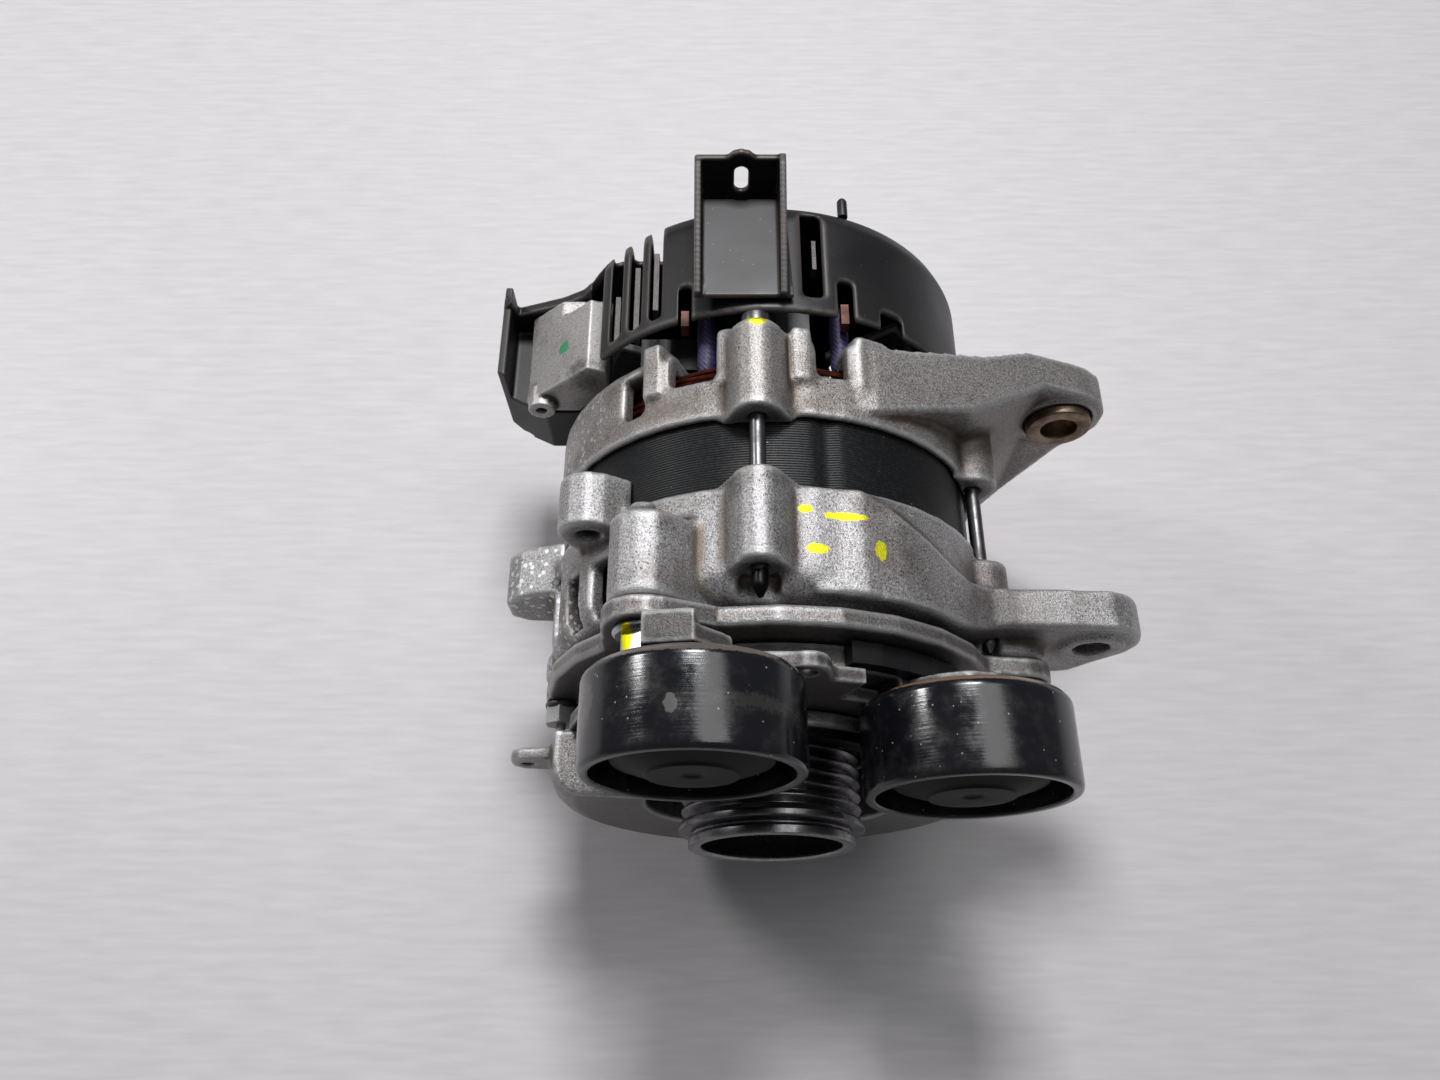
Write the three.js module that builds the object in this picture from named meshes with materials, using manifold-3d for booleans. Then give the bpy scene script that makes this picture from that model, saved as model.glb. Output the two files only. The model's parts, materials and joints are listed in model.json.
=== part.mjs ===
// A car alternator with a ring-shaped belt tensioner on its nose, lying on its side.
// Millimetres, +Z up. The shaft runs along Y: the pulley faces -Y and the plastic rear cover faces +Y.
import * as THREE from "three";
import { mergeVertices } from "three/addons/utils/BufferGeometryUtils.js";
import Module from "manifold-3d";

const wasm = await Module();
wasm.setup();

// ---- driving dimensions ----
const gap = 0.3; // air left between pieces that meet
const shaftHeight = 72; // shaft axis above the surface the feet stand on
const pulleyFrontY = -95.3; // where the pulley's front face sits in the part's own frame
const sideShift = -10.8; // puts the middle of the whole width on X = 0

const drumR = 67.2; // outside of both cast brackets
const seatR = 64.9; // rabbet that holds the stator core
const coreR = 64.5;
const coreFront = 79.7;
const coreRear = 111.3;
const boltCircleR = 67.9;
const throughBoltAngles = [-4, 68.5, 155, -112];
const threadBossRear = [86, 78, 86, 86]; // rear end of each threaded boss on the drive-end bracket
const throughBoltR = 2.2;

const pulleyLength = 34;
const ribPitch = 3.56;
const ribCount = 6;
const ribTopR = 26.5;
const ribRootR = 24.2;
const flangeR = 27.3;

const idlerR = 28;
const idlerFront = 5.5;
const idlerRear = 30.5;
const idlerLeftAt = [-21.6, 63.9];
const idlerRightAt = [50.2, 41];

const tubeR = 33.2; // pivot tube of the tensioner base
const tubeFront = 26; // its front end, behind the pulley's first ribs
const ringBoreR = tubeR + 0.4; // bore of each ring that swings on it
const basePlateFront = 43.5;
const basePlateRear = 49.3;
const springArcR = 51.2;
const baseR = 67.5;
const mountBoltsAt = [
  [-34.4, 63],
  [-63.5, 0],
  [72.5, 17],
];
const lugFrontAt = [94, 21];
const lugRearAt = [95, 20];
const lugHoleR = 5.3;
const frontEyeR = 14.6;
const rearEyeR = 15;
const rearEyeFront = 133;
const rearEyeRear = 145;
const bushOuterR = 10.3;
const bushBoreR = 5.65;
const earAt = [-52, 48.5];
const coverR = 67.5;
const phaseSleevesAt = [
  [-19, 52.5],
  [-1, 56.5],
  [21, 52],
];
const footX = 30;
const diodeAngles = [90, 165, 240];
const wide = 40; // sides of a casting's drum
const round = 26; // sides of a wheel or a bearing
const small = 12; // sides of a boss or a bolt

// ---- small tools ----
function solid(geometry) {
  geometry.deleteAttribute("normal");
  geometry.deleteAttribute("uv");
  const merged = mergeVertices(geometry.index ? geometry.toNonIndexed() : geometry, 1e-4);
  return new wasm.Manifold(
    new wasm.Mesh({
      numProp: 3,
      vertProperties: merged.attributes.position.array,
      triVerts: new Uint32Array(merged.index.array),
    }),
  );
}

function geometryOf(body) {
  const mesh = body.getMesh();
  const geometry = new THREE.BufferGeometry();
  geometry.setAttribute("position", new THREE.BufferAttribute(new Float32Array(mesh.vertProperties), 3));
  geometry.setIndex(new THREE.BufferAttribute(new Uint32Array(mesh.triVerts), 1));
  geometry.computeVertexNormals();
  return geometry;
}

// A closed outline of [radius, y] pairs turned about the shaft axis.
function turned(outline, sides = round, at = [0, 0]) {
  const points = outline.map(([r, y]) => new THREE.Vector2(r, y));
  if (outline[0][0] > 0) points.push(points[0].clone());
  let area = 0;
  outline.forEach(([r, y], i) => {
    const [r2, y2] = outline[(i + 1) % outline.length];
    area += r * y2 - r2 * y;
  });
  if (area < 0) points.reverse();
  const geometry = new THREE.LatheGeometry(points, sides);
  geometry.translate(at[0], 0, at[1]);
  return solid(geometry);
}

function ring(inner, outer, y0, y1, sides = round, at = [0, 0]) {
  return turned([[inner, y0], [outer, y0], [outer, y1], [inner, y1]], sides, at);
}

function rod(radius, y0, y1, at = [0, 0], sides = small) {
  const geometry = new THREE.CylinderGeometry(radius, radius, y1 - y0, sides);
  geometry.translate(at[0], (y0 + y1) / 2, at[1]);
  return solid(geometry);
}

function box(x0, x1, y0, y1, z0, z1) {
  const geometry = new THREE.BoxGeometry(x1 - x0, y1 - y0, z1 - z0);
  geometry.translate((x0 + x1) / 2, (y0 + y1) / 2, (z0 + z1) / 2);
  return solid(geometry);
}

// An outline of [x, z] pairs drawn as seen from the front, carried from y0 to y1.
function slab(outline, y0, y1) {
  const shape = new THREE.Shape(outline.map(([x, z]) => new THREE.Vector2(x, z)));
  const geometry = new THREE.ExtrudeGeometry(shape, { depth: y1 - y0, bevelEnabled: false });
  geometry.rotateX(Math.PI / 2);
  geometry.translate(0, y1, 0);
  return solid(geometry);
}

// An outline of [x, y] pairs drawn as seen from above, carried from z0 to z1.
function planSlab(outline, z0, z1) {
  const shape = new THREE.Shape(outline.map(([x, y]) => new THREE.Vector2(x, y)));
  const geometry = new THREE.ExtrudeGeometry(shape, { depth: z1 - z0, bevelEnabled: false });
  geometry.translate(0, 0, z0);
  return solid(geometry);
}

const radians = (degrees) => (degrees * Math.PI) / 180;

// A point on a circle round the shaft; the angle starts straight up and grows to the right.
function around(radius, degrees) {
  return [radius * Math.sin(radians(degrees)), radius * Math.cos(radians(degrees))];
}

// The part of a ring between two angles.
function sector(inner, outer, from, to, y0, y1) {
  const steps = Math.max(1, Math.ceil((to - from) / 9));
  const outline = [];
  for (let i = 0; i <= steps; i++) outline.push(around(outer, from + ((to - from) * i) / steps));
  for (let i = steps; i >= 0; i--) outline.push(around(inner, from + ((to - from) * i) / steps));
  return slab(outline, y0, y1);
}

// A rounded bar from one centre to another, as seen from the front.
function link(a, ra, b, rb, y0, y1) {
  const dx = b[0] - a[0];
  const dz = b[1] - a[1];
  const along = Math.atan2(dz, dx);
  const lean = Math.acos((ra - rb) / Math.hypot(dx, dz));
  const outline = [];
  const arc = (centre, radius, from, to) => {
    const steps = 5;
    for (let i = 0; i <= steps; i++) {
      const t = from + ((to - from) * i) / steps;
      outline.push([centre[0] + radius * Math.cos(t), centre[1] + radius * Math.sin(t)]);
    }
  };
  arc(b, rb, along - lean, along + lean);
  arc(a, ra, along + lean, along - lean + 2 * Math.PI);
  return slab(outline, y0, y1);
}

function roundCorner(centreR, centreY, radius, from, to, steps) {
  const points = [];
  for (let i = 0; i <= steps; i++) {
    const t = radians(from + ((to - from) * i) / steps);
    points.push([centreR + radius * Math.cos(t), centreY + radius * Math.sin(t)]);
  }
  return points;
}

const joined = (bodies) => bodies.reduce((sum, body) => sum.add(body));
const cut = (body, tools) => tools.reduce((left, tool) => left.subtract(tool), body);

// ---- cast brackets ----
function driveEndBracket() {
  const shell = turned([
    [14, 43],
    [30, 43],
    [34, 51],
    [56, 51],
    ...roundCorner(drumR - 9, 60, 9, -90, 0, 5),
    [drumR, 84],
    [seatR, 84],
    [seatR, 79.3],
    [62.3, 79.3],
    [62.3, 61],
    [58, 56.5],
    [25, 56.5],
    [25, 60],
    [20.3, 60],
    [20.3, 46],
    [14, 46],
  ], wide);
  const core = rod(62.3, 56.5, 90, [0, 0], wide);
  const bosses = throughBoltAngles.map((a, i) =>
    link(around(58, a), 12, around(boltCircleR + 0.6, a), 7, 58, threadBossRear[i]));
  const tensionerBosses = [
    link(around(50, -29), 16, mountBoltsAt[0], 10.2, 49.6, 74),
    rod(4, 73, 77.5, [mountBoltsAt[0][0] - 1, mountBoltsAt[0][1] + 3], 12),
    link(around(52, -90), 12, mountBoltsAt[1], 5.6, 49.6, 58),
    link(around(56, 77), 14, mountBoltsAt[2], 8.6, 49.6, 66),
  ];
  const ear = link(around(50, -47), 13, earAt, 9, 77, 93.5);
  const sideLug = slab([[-55, -12], [-78, -9], [-82.3, -5], [-82.3, 6], [-78, 11], [-55, 20]], 74, 91);
  const arm = frontArm();
  const outside = joined([...bosses, ...tensionerBosses, ear, sideLug, arm, ...feet(60, 82)]);
  const body = shell.add(cut(outside, [core, rod(coreR + 0.4, 79, 97, [0, 0], wide)]));
  const holes = [
    ...throughBoltAngles.map((a) => rod(throughBoltR + 0.4, 40, 100, around(boltCircleR, a), 8)),
    ...mountBoltsAt.map((at) => rod(4.1, 40, 68, at, 12)),
    rod(lugHoleR, 40, 90, lugFrontAt, small),
    rod(3.4, 60, 90, earAt, 10),
    tipNotch(),
    ...sideWindows(58.5, 77.5, [88, 102, 116, 130, 180, 194, 240, -74, -104]),
    ...sideWindows(54.5, 71, [-46.5, -59.5]),
    ...[20, 65, 110, 155, 200, 245, 290, 335].map((a) => sector(37, 54, a - 14, a + 14, 45, 58)),
  ];
  return cut(body, holes);
}

// Two pads under the drum that the whole unit stands on.
function feet(y0, y1) {
  return [-footX, footX].map((x) =>
    slab([[x - 9, -50], [x - 7, -shaftHeight], [x + 7, -shaftHeight], [x + 9, -50]], y0, y1));
}

// The pocket in the bracket's brow where the pointed end of the top through bolt shows.
function tipNotch() {
  const [x, z] = around(boltCircleR, throughBoltAngles[0]);
  return box(x - 5.5, x + 5.5, 40, 58.5, z - 6, z + 12);
}

function sideWindows(y0, y1, angles) {
  return angles.map((angle) => sector(56, 80, angle - 3.6, angle + 3.6, y0, y1));
}

// The front mounting arm: broad where it grows out of the drum, a 12 mm plate at its eye.
function frontArm() {
  const [x, z] = lugFrontAt;
  const face = slab([
    [10, 65.6],
    [23, 64.4],
    [34, 60.2],
    [42, 55.2],
    [50, 47.6],
    [56, 41],
    [62, 37.8],
    [70, 36.6],
    [84, 36.2],
    ...[75, 50, 25, 0, -25, -50].map((d) => [
      x + frontEyeR * Math.cos(radians(d)),
      z + frontEyeR * Math.sin(radians(d)),
    ]),
    [x + 6.5, z - 14.5],
    [x, z - 23.8],
    [x - 7, z - 24.6],
    [66, -12],
    [40, 0],
    [10, 20],
  ], 51, 84);
  const plan = planSlab([
    [8, 53],
    [50, 51.5],
    [66, 54.5],
    [112, 54.5],
    [112, 66.5],
    [57, 66.5],
    [50, 68.5],
    [43, 72.5],
    [30, 80],
    [22, 84],
    [8, 84],
  ], -30, 80);
  const webFace = slab([[40, -16], [40, 24], [64, 24], [77, 19], [81, 0], [66, -12]], 60, 84);
  const webPlan = planSlab([
    [40, 60],
    [82, 60],
    [77, 66],
    [72, 70.5],
    [68.5, 78],
    [63, 84],
    [40, 84],
  ], -30, 30);
  const boss = rod(9.2, 53.3, 66.5, lugFrontAt, small);
  return joined([face.intersect(plan), webFace.intersect(webPlan), boss]);
}

function statorCore() {
  const rings = ring(47, coreR, coreFront, coreRear, wide);
  const weldGroove = (angle) => sector(63.6, 66, angle - 1.3, angle + 1.3, coreFront - 1, coreRear + 1);
  return cut(rings, [13, 103, 193, 283].map(weldGroove));
}

function winding(y0, y1) {
  const middle = (y0 + y1) / 2;
  return turned([[49, y0 + 2], [51, y0], [58, y0], [60.5, middle], [60.5, y1], [49, y1]], round);
}

function rearBracket() {
  const shell = turned([
    [20, 121.7],
    [24, 127],
    [62.3, 127],
    [62.3, 112],
    [seatR, 112],
    [seatR, 105.5],
    [drumR, 105.5],
    [drumR, 128.5],
    [65, 132],
    [23, 132],
    [21, 135],
    [11, 135],
    [11, 132.6],
    [16.3, 132.6],
    [16.3, 121.7],
  ], wide);
  const bosses = throughBoltAngles.map((a) =>
    link(around(58, a), 12, around(boltCircleR + 0.4, a), 7.4, 104, 133));
  const posts = [[-31, 2.5], [-11.4, 2.3], [7.1, 2.3], [25, 4]].map(([a, half]) => slab([
    around(58, a - half - 1),
    around(68.6, a - half),
    around(68.6, a + half),
    around(58, a + half + 1),
  ], 117, 135));
  const outside = cut(joined([...bosses, ...posts, ...feet(107, 127), rearArm()]), [
    rod(62.3, 90, 127, [0, 0], wide),
    rod(seatR, 90, 112, [0, 0], wide),
  ]);
  const body = shell.add(outside);
  const windows = [15, 92, 110, 128, 180, 198, 232, 246]
    .map((a) => sector(50, 72, a - 4.1, a + 4.1, 119.5, 137));
  const topGap = sector(50, 72, -26.2, -14, 119, 137);
  const sideOpening = sector(56, 80, -40.5, -33.9, 113, 127);
  return cut(body, [
    ...windows,
    topGap,
    sideOpening,
    ...throughBoltAngles.map((a) => rod(throughBoltR + 0.4, 90, 140, around(boltCircleR, a), 8)),
    ...throughBoltAngles.map((a) => rod(6.4, 133.2, 145, around(boltCircleR, a))),
    ...phaseSleevesAt.map((at) => rod(3.2, 110, 150, at, 8)),
    rod(bushOuterR + 0.5, 110, 150, lugRearAt, 20),
  ]);
}

// The rear mounting arm: a flat plate with a three-cornered web that runs down the drum's side.
function rearArm() {
  const [x, z] = lugRearAt;
  const plate = slab([
    [2, 66.5],
    [30, 62],
    [98, 35.3],
    ...[60, 35, 10, -15, -40].map((d) => [
      x + rearEyeR * Math.cos(radians(d)),
      z + rearEyeR * Math.sin(radians(d)),
    ]),
    [100, 2],
    [86, -32],
    [80, -37],
    [60, -30],
    [40, 0],
    [10, 30],
  ], 105, rearEyeRear + 1);
  const plan = planSlab([[0, 108], [30, 110], [60, 118], [78, 128], [86, rearEyeFront], [114, rearEyeFront],
    [114, rearEyeRear], [82, rearEyeRear], [66, 139], [30, 132], [0, 130.5]], -60, 80);
  return joined([plate.intersect(plan), rod(12.4, rearEyeFront - 1.2, rearEyeRear, lugRearAt, 20)]);
}

function throughBolt(at) {
  const shank = turned([[0, 50.5], [0.6, 50.5], [throughBoltR, 53.5], [throughBoltR, 134], [0, 134]], 10, at);
  return shank.add(rod(4.4, 133.4, 138, at, 6));
}

// ---- rotor ----
function rotorShaft() {
  return turned([[0, 19.5], [7.4, 19.5], [7.4, 40], [8.5, 40.4], [8.5, 68], [9, 68], [9, 119.5], [7.5, 119.5],
    [7.5, 134], [6, 134], [6, 162], [0, 162]], 20);
}

// A disc with six fingers that reach over the field coil, towards tipY.
function clawPole(discFront, discRear, tipY, startAngle) {
  const pointsRear = tipY > discFront;
  const rootY = pointsRear ? discFront : discRear;
  const baseY = pointsRear ? discRear : discFront;
  const disc = ring(9.3, 37, discFront, discRear, round);
  const outline = [[-10, rootY], [-10, baseY], [-4.5, tipY], [4.5, tipY], [10, baseY], [10, rootY]];
  const fingers = [0, 1, 2, 3, 4, 5].map((i) => {
    const finger = planSlab(outline, 36, 45.6).add(box(-10, 10, discFront, discRear, 20, 40));
    return finger.rotate([0, startAngle + i * 60, 0]);
  });
  const coilRoom = rod(37, Math.min(baseY, tipY), Math.max(baseY, tipY), [0, 0], round);
  return cut(joined([disc, ...fingers]), [coilRoom]);
}

function fan(plateY0, plateY1, bladeY0, bladeY1) {
  const plate = ring(9.4, 44, plateY0, plateY1, round);
  const blades = [];
  for (let i = 0; i < 9; i++) {
    const blade = box(-1, 1, bladeY0, bladeY1, 27, 43).rotate([0, 18, 0]).translate([-8, 0, 0]);
    blades.push(blade.rotate([0, i * 40 + (i % 3) * 4, 0]));
  }
  return joined([plate, ...blades]);
}

// Two copper rings on one moulded sleeve.
function slipRings() {
  return turned([[6.3, 142.8], [9, 142.8], [9, 149.2], [7.6, 149.2], [7.6, 150.8], [9, 150.8], [9, 157.2],
    [6.3, 157.2]], 20);
}

function pulleySleeve() {
  const outline = [[20.5, 0], [24.3, 0], [24.3, 4.3], [23.2, 4.5], [23.2, 5.2], [flangeR, 5.8],
    [flangeR, 7.4]];
  for (let i = 0; i < ribCount; i++) {
    const middle = 10.2 + i * ribPitch;
    outline.push([ribRootR, middle - ribPitch / 2], [ribTopR, middle]);
  }
  outline.push([ribRootR, 29.9], [flangeR, 31], [flangeR, 33.2], [26.4, pulleyLength], [20.5, pulleyLength]);
  return turned(outline);
}

function pulleyHub() {
  return turned([[8.6, 10.4], [16.8, 10.4], [17.6, 11.2], [17.6, 33], [12, 33.4], [12, 38.5], [7.8, 38.5],
    [7.8, 18.6], [8.6, 18.6]], round);
}

// ---- electrics under the rear cover ----
function brushHolder() {
  const block = box(-13, 13, 140.4, 161, 12, 45);
  const channels = [146, 154].map((y) => box(-3.3, 3.3, y - 2.8, y + 2.8, 0, 41));
  const regulator = box(-40, -13, 140.4, 152, 22, 38);
  return cut(block.add(regulator), channels);
}

function helixSpring(x, y, z0, z1, coilR, wireR, turns) {
  const steps = turns * 8;
  const points = [];
  for (let i = 0; i <= steps; i++) {
    const t = (i / 8) * 2 * Math.PI;
    const z = z0 + ((z1 - z0) * i) / steps;
    points.push(new THREE.Vector3(x + coilR * Math.cos(t), y + coilR * Math.sin(t), z));
  }
  const section = new THREE.Shape();
  section.absarc(0, 0, wireR, 0, 2 * Math.PI, false);
  const path = new THREE.CatmullRomCurve3(points);
  const geometry = new THREE.ExtrudeGeometry(section, { steps, extrudePath: path, bevelEnabled: false,
    curveSegments: 2 });
  return solid(geometry);
}

function rectifierPlate(y0, y1, outer) {
  const holes = diodeAngles.map((a) => rod(4.2, y0 - 1, y1 + 1, around(42, a), 10));
  return cut(sector(26, outer, 52, 295, y0, y1), holes);
}

function rearCover() {
  const shell = turned([
    [65.3, 141],
    [coverR, 141],
    [coverR, 177],
    ...roundCorner(coverR - 6, 178, 6, 20, 90, 3),
    [18, 184],
    [18, 182],
    [61, 182],
    [64, 180.6],
    [65.3, 177],
  ], wide);
  const sideSlots = [-47.5, -41, -34.5].map((x) => box(x - 1.9, x + 1.9, 145, 190, 38, 80));
  const rearSlots = [80, 110, 140, 170, 200, 230].map((a) =>
    box(-3.4, 3.4, 175, 190, 27, 56).rotate([0, a, 0]));
  const notches = [18.5, 31].map((x) => box(x - 3, x + 3, 135, 146.5, 45, 75));
  const pin = rod(1.6, 176, 190.5, [23.5, 59], 10);
  const body = cut(shell, [
    ...sideSlots,
    ...rearSlots,
    ...notches,
    box(8.6, 14.6, 146.5, 178.5, 55, 75),
    box(-95, -44, 130, 179.5, -13, 41.6),
    rod(7.2, 170, 190, [34, -22], small),
  ]);
  return body.add(pin);
}

function terminalGuard() {
  const floor = 68.4;
  const side = (x0, x1, tilt) => {
    const outline = [[144, floor], [144, 71.5], [183, 81.5 + tilt], [187, 81.5 + tilt], [187, floor]];
    const shape = new THREE.Shape(outline.map(([y, z]) => new THREE.Vector2(y, z)));
    const geometry = new THREE.ExtrudeGeometry(shape, { depth: x1 - x0, bevelEnabled: false });
    geometry.rotateY(Math.PI / 2);
    geometry.rotateX(Math.PI / 2);
    geometry.translate(x0, 0, 0);
    return solid(geometry);
  };
  const tray = planSlab([[-19.5, 144], [6.5, 144], [4.6, 180.5], [-22.6, 180.5]], floor, floor + 1.8);
  const back = box(-22.4, 4.4, 185, 187, 62.5, 82);
  const bump = rod(5, 185, 187, [-8.7, 79.4], small);
  const slot = link([-8.6, 70.4], 2.1, [-8.6, 76.4], 2.09, 180, 190);
  return cut(joined([tray, back, bump, side(-22.6, -20.6, 0), side(2.6, 4.6, 1)]), [slot]);
}

function connectorHousing() {
  const body = slab([
    [-88.6, -7],
    [-83, -12],
    [-61, -12],
    [-61, 10],
    [-86, 10],
    [-86, 24],
    [-88.6, 24],
  ], 142, 184);
  const rearHood = slab([
    [-88.6, 9],
    [-88.6, 24],
    [-85.6, 26.6],
    [-84.2, 19.6],
    [-68.2, 25.3],
    [-61, 29.4],
    [-57.4, 33.6],
    [-61, 9],
  ], 175.4, 179.1);
  const chamfer = planSlab([[-96, 138], [-66, 138], [-90.1, 150], [-96, 150]], -20, 40);
  const step = box(-86, -50, 179.1, 190, -20, 45);
  const socket = box(-83.5, -66, 160, 190, -8.5, 6.5);
  const ribs = [148, 156, 164, 172].map((y) => box(-92, -58, y - 2, y + 2, -15, -10.2));
  return cut(body.add(rearHood), [chamfer, step, socket, ...ribs]);
}

function heatSinkBlock() {
  const body = slab([[-79, 12.4], [-79, 18], [-57, 37.5], [-51, 35], [-51, 26], [-62, 12.4]], 141.5, 175);
  const boss = rod(4.6, 138.5, 146, [-74, 17], small);
  return cut(body.add(boss), [rod(1.8, 130, 144, [-74, 17], 10), box(-70, -40, 168.5, 180, 28, 40)]);
}

// ---- belt tensioner ----
function tensionerBase() {
  const plate = turned([
    [30, tubeFront],
    [tubeR, tubeFront],
    [tubeR, basePlateFront],
    [baseR - 0.8, basePlateFront],
    [baseR, basePlateFront + 0.8],
    [baseR, basePlateRear - 0.8],
    [baseR - 0.8, basePlateRear],
    [35.4, basePlateRear],
    [30, 42.6],
  ], round);
  const earRootR = [21, 12, 17];
  const earEndR = [11.2, 5, 9.6];
  const ears = mountBoltsAt.map((at, i) => {
    const angle = (Math.atan2(at[0], at[1]) * 180) / Math.PI;
    return link(around(54, angle), earRootR[i], at, earEndR[i], basePlateFront, basePlateRear);
  });
  const holes = mountBoltsAt.map((at) => rod(4.2, 40, 52, at, 14));
  return cut(joined([plate, ...ears]), holes);
}

function tensionerBolt(at, headR, flangeWidth) {
  const head = rod(headR, 36.6, 42, at, 6);
  const flange = rod(flangeWidth, 41.4, 43.2, at, small);
  const shank = rod(3.6, 43, 56, at, 10);
  return joined([head, flange, shank]);
}

// The left-hand screw has a small stud on its head.
function studdedBolt(at) {
  return tensionerBolt(at, 4.9, 5).add(rod(1.5, 34, 37, at, 8));
}

function springHousing() {
  const outer = 65.5;
  const centre = [0, -3];
  const wall = turned([
    [33.4, 12.5],
    [outer - 9, 12.5],
    ...roundCorner(outer - 9, 21.5, 9, -80, 0, 4),
    [outer, 31.2],
    [33.4, 31.2],
  ], wide, centre);
  const pocket = turned([
    [39, 15.5],
    [outer - 10, 15.5],
    ...roundCorner(outer - 10, 22.5, 7, -70, 0, 3),
    [outer - 3, 32],
    [39, 32],
  ], wide, centre);
  const lower = wall.intersect(sector(30, 80, 102, 284, 10, 33));
  const hollow = pocket.intersect(sector(30, 80, 105, 281, 10, 33));
  const hub = ring(ringBoreR, 36.2, tubeFront + 0.4, 31.2, wide);
  const tab = slab([[-58, -8], [-74.5, -5.5], [-77.4, -2.5], [-77.4, 3], [-74.5, 6], [-58, 8]], 24.5, 28.5);
  const shell = cut(lower, [hollow]).add(cut(tab, [rod(62, 20, 32, [0, 0], wide)]));
  return cut(shell.add(hub), [
    rod(ringBoreR, 5, 40, [0, 0], wide),
    rod(36.8, 5, tubeFront + 0.4, [0, 0], wide),
    rod(2, 20, 32, [-72.5, 0], 10),
  ]);
}

function tensionerCarrier() {
  const plateFront = 31.5;
  const plateRear = 35.8;
  const angle = (Math.atan2(...idlerLeftAt) * 180) / Math.PI;
  const plate = joined([
    ring(ringBoreR, 47, plateFront, plateRear, wide),
    sector(40, 60.5, 90, 382, plateFront, plateRear),
    sector(50, 69.5, angle - 20, 7, plateFront, plateRear),
    link(around(50, angle), 19, idlerLeftAt, 13, plateFront, plateRear),
    link(around(55, 6), 9, around(64.5, 6), 6, plateFront, plateRear),
    slab([[-34, 60], [-33.5, 86], [-21, 88], [-12, 78], [-12, 60]], plateFront, 36.2),
    slab([[-33.5, 81.4], [-33.5, 86], [-21, 88], [-20, 81.4]], 36, 40),
    rod(8.6, idlerRear - 2.6, plateFront + 1, idlerLeftAt),
  ]);
  return cut(plate, [rod(4.3, 20, 40, idlerLeftAt, 14), rod(2.6, 20, 40, around(64.5, 6), 12),
    rod(ringBoreR, 20, 40, [0, 0], wide)]);
}

function tensionerArm() {
  const ringFront = 36.3;
  const ringRear = 42.9;
  const lobeFront = 31.5;
  const angle = (Math.atan2(...idlerRightAt) * 180) / Math.PI;
  const arm = joined([
    ring(ringBoreR, 56.5, ringFront, ringRear, wide),
    sector(48.8, 56.5, angle - 15, angle + 15, lobeFront, ringRear),
    link(around(56, angle), 13, idlerRightAt, 12.4, lobeFront, ringFront - 0.1),
    rod(8.6, idlerRear - 2.6, lobeFront + 1, idlerRightAt),
  ]);
  return cut(arm, [rod(4.3, 20, 40, idlerRightAt, 14), rod(ringBoreR, 20, 50, [0, 0], wide),
    rod(48.8, 20, ringFront, [0, 0], wide)]);
}

function idlerTyre(at) {
  return turned([[25, idlerFront], [27, idlerFront], [idlerR, idlerFront + 1], [idlerR, idlerRear - 2],
    [26, idlerRear], [25, idlerRear], [25, 24], [20.6, 24], [20.6, 28.4], [17.8, 28.4], [17.8, 12.4],
    [20.6, 12.4], [20.6, 20], [25, 20]], round, at);
}

function idlerCap(at) {
  return turned([[0, 5.6], [11.7, 5.6], [20.2, 8.3], [20.2, 12], [19, 12], [19, 9.3], [11.4, 6.9], [0, 6.9]],
    round, at);
}

function idlerBolt(at) {
  return joined([rod(7.2, 8.4, 13, at, 6), rod(8.4, 12, 13.2, at, small), rod(3.9, 13, 35.4, at, 12)]);
}

function arcSpring(from, to) {
  const points = [];
  const steps = 12;
  for (let i = 0; i <= steps; i++) {
    const [x, z] = around(springArcR, from + ((to - from) * i) / steps);
    points.push(new THREE.Vector3(x, 24, z));
  }
  const section = new THREE.Shape();
  section.absarc(0, 0, 5.4, 0, 2 * Math.PI, false);
  const geometry = new THREE.ExtrudeGeometry(section, { steps, curveSegments: 5, bevelEnabled: false,
    extrudePath: new THREE.CatmullRomCurve3(points) });
  return solid(geometry);
}

// ---- finishes ----
function finish(color, roughness, metalness) {
  return new THREE.MeshStandardMaterial({ color, roughness, metalness });
}


const castAluminium = finish(0x8d8b87, 0.6, 0.9);
const darkAluminium = finish(0x6c6964, 0.65, 0.85);
const blackSteel = finish(0x1c1d20, 0.5, 0.6);
const steel = finish(0x77797c, 0.35, 1);
const brightZinc = finish(0xb9bcc0, 0.3, 1);
const blackPlastic = finish(0x17181a, 0.45, 0);
const idlerPlastic = finish(0x0c0d10, 0.2, 0);
const copper = finish(0x9a5434, 0.4, 0.9);
const bronze = finish(0x8a6f52, 0.45, 0.9);
const navySleeve = finish(0x161a3c, 0.5, 0);
const carbon = finish(0x2a2a2c, 0.8, 0.1);

// ---- assembly ----
const alternator = new THREE.Group();
const assembly = new THREE.Group();
assembly.position.set(sideShift, pulleyFrontY, shaftHeight);
alternator.add(assembly);

function piece(name, body, material) {
  const mesh = new THREE.Mesh(geometryOf(body), material);
  mesh.name = name;
  assembly.add(mesh);
}

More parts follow.
